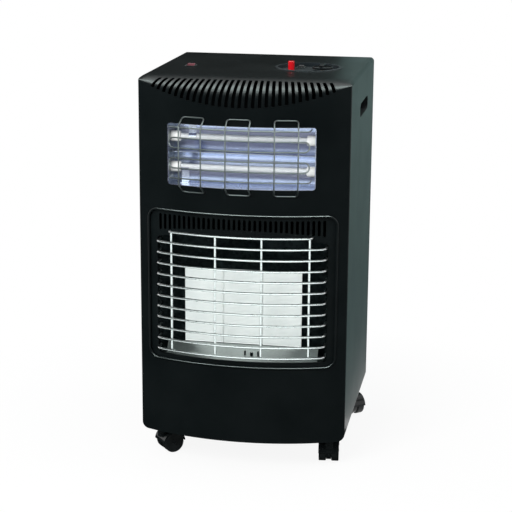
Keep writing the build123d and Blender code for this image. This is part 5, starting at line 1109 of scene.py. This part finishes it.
def curtain(name, start, end):
    """An upright curtain about the heater between two bearings in degrees, counted from straight behind."""
    steps = round(abs(end - start) / CURTAIN_BAY)
    points = []
    for number in range(steps + 1):
        turn = math.radians(start + (end - start) * number / steps)
        x, y = CURTAIN_RADIUS * math.sin(turn), CURTAIN_RADIUS * math.cos(turn)
        points += [(x, y, 0), (x, y, CURTAIN_HEIGHT)]
    bays = [(2 * i, 2 * i + 1, 2 * i + 3, 2 * i + 2) for i in range(steps)]
    return only_mirrored(stage_piece(name, points, bays, velvet))


level_sheet("studio_floor", FLOOR_REACH, -FLOOR_REACH, FLOOR_REACH, 0, white_floor())
velvet = matt_cloth("black_velvet", "#1d2121", "#252a2a")
only_mirrored(level_sheet("floor_velvet", VELVET_REACH, -VELVET_REACH, VELVET_BACK, CLOTH_LIFT, velvet))
only_mirrored(level_sheet("front_canopy", CANOPY_HALF, CANOPY_FRONT, CANOPY_BACK, CANOPY_HEIGHT, velvet))
curtain("front_curtain", -230, -100)
curtain("rear_curtain", -60, 25)

# The card stands at the rear right and sweeps forward along the floor. Its tall half is what the top mirrors.
sweep_corners = [(CARD_LEFT, CARD_FRONT), (CARD_RIGHT, CARD_FRONT),
                 (CARD_RIGHT, CARD_BACK), (CARD_LEFT, CARD_BACK)]
upright_corners = [(CARD_RIGHT, CARD_LOW_TOP), (CARD_LEFT, CARD_LOW_TOP), (CARD_RIGHT, CARD_TALL_TOP),
                   (CARD_TALL_LEFT, CARD_TALL_TOP), (CARD_TALL_LEFT, CARD_LOW_TOP)]
card_points = [(x, y, CARD_LIFT) for x, y in sweep_corners] + [(x, CARD_BACK, z) for x, z in upright_corners]
card_faces = [(0, 1, 2, 3), (3, 2, 4, 5), (8, 5, 4, 6, 7)]
grey_card = matt_cloth("grey_green_card", "#718b88", "#7b9390")
only_mirrored(stage_piece("rear_right_card", card_points, card_faces, grey_card))

# %% White background
world = bpy.data.worlds.new("studio_world")
world.use_nodes = True
bpy.context.scene.world = world
tree = world.node_tree
tree.nodes.clear()
fill = add_node(tree, "ShaderNodeBackground", {"Color": linear("#f4f7fa"), "Strength": 0.7})
white = add_node(tree, "ShaderNodeBackground", {"Color": linear("#ffffff"), "Strength": 1.0})
both = add_node(tree, "ShaderNodeMixShader", {
    0: seen_in_the_picture(tree), 1: fill.outputs[0], 2: white.outputs[0]})
add_node(tree, "ShaderNodeOutputWorld", {"Surface": both.outputs[0]})
print("world nodes:", len(tree.nodes))

# %% [markdown]
# ## The lamps
# The key lamp lights the front from above. It is kept out of reflections, as crossed polarisers do in a
# studio, so that it lays no glare on the bowed front, and a smaller one fills the right side. The long lamp
# overhead is the other way round: it is there to be mirrored, and draws the bright line along the rolled
# shoulder.
#
# Bright metal has no colour without something bright to mirror, and the velvet gives it nothing. A
# photographer solves that with white reflectors just outside the picture. Here light linking aims them: a
# wall, two floors and a sky are seen by the bright metal and the quartz tubes alone, and a long lamp by
# the rolled lip alone, all in reflections only.

# %% Lamps
HEATER_MIDDLE = (0, 0, 0.45)
SHOULDER_GREEN, METAL_WHITE, TROUGH_BLUE = "#e6f8f5", "#f0faf8", "#ecebff"


def soft_box(name, place, aim, width, height, power, card="#ffffff"):
    """A large area lamp at place, facing aim."""
    data = bpy.data.lights.new(name, "AREA")
    data.shape, data.size, data.size_y, data.energy = "RECTANGLE", width, height, power
    data.color = linear(card)[:3]
    lamp = bpy.data.objects.new(name, data)
    direction = Vector(aim) - Vector(place)
    lamp.matrix_world = Matrix.Translation(place) @ direction.to_track_quat("-Z", "Y").to_matrix().to_4x4()
    bpy.context.scene.collection.objects.link(lamp)
    return lamp


def mirrored_by(lamp, *pieces):
    """Shows the lamp in the reflections of those pieces alone."""
    receivers = bpy.data.collections.new(lamp.name + "_receivers")
    for piece in pieces:
        receivers.objects.link(bpy.data.objects[piece])
    lamp.light_linking.receiver_collection = receivers
    lamp.visible_diffuse = False


key = soft_box("key_above_front", (-0.7, -2.3, 2.0), HEATER_MIDDLE, 1.4, 1.4, 69)
right_fill = soft_box("right_fill", (2.4, 0.4, 1.2), HEATER_MIDDLE, 1.2, 1.8, 14)
key.visible_glossy = right_fill.visible_glossy = False
overhead = soft_box("overhead_strip", (0.0, 0.6, 2.5), (0, -0.1, 0.7), 1.7, 0.7, 30, SHOULDER_GREEN)
overhead.visible_diffuse = False

wire_and_ledge = ["burner_guard_chromed", "tube_guard_nickelled", "burner_ledge"]
troughs = ["electric_reflector_dressed", "upper_quartz_tube_dressed", "lower_quartz_tube_dressed",
           "tube_clips_dressed"]
wall = soft_box("wall_for_bright_metal", (0, -4.2, 1.6), (0, 0, 0.5), 5.0, 3.0, 110, METAL_WHITE)
mirrored_by(wall, *wire_and_ledge, *troughs)
rod_floor = soft_box("floor_for_chromed_rods", (0, -2.1, 0.02), (0, -2.1, 1), 5.0, 3.4, 75, METAL_WHITE)
mirrored_by(rod_floor, "burner_guard_chromed")
trough_floor = soft_box("floor_for_the_troughs", (0, -2.1, 0.03), (0, -2.1, 1), 5.0, 3.4, 20, TROUGH_BLUE)
mirrored_by(trough_floor, *troughs)
trough_sky = soft_box("sky_for_the_troughs", (0, -1.8, 3.2), (0, -0.1, 0.6), 4.0, 2.4, 11, TROUGH_BLUE)
mirrored_by(trough_sky, *troughs)
lip_strip = soft_box("strip_for_the_rolled_lip", (0.05, -1.2, 2.4), (0.05, -0.2, 0.5), 3.6, 1.3, 800,
                     SHOULDER_GREEN)
mirrored_by(lip_strip, "surround_lip_rolled")
print("lamps:", len(bpy.data.lights))
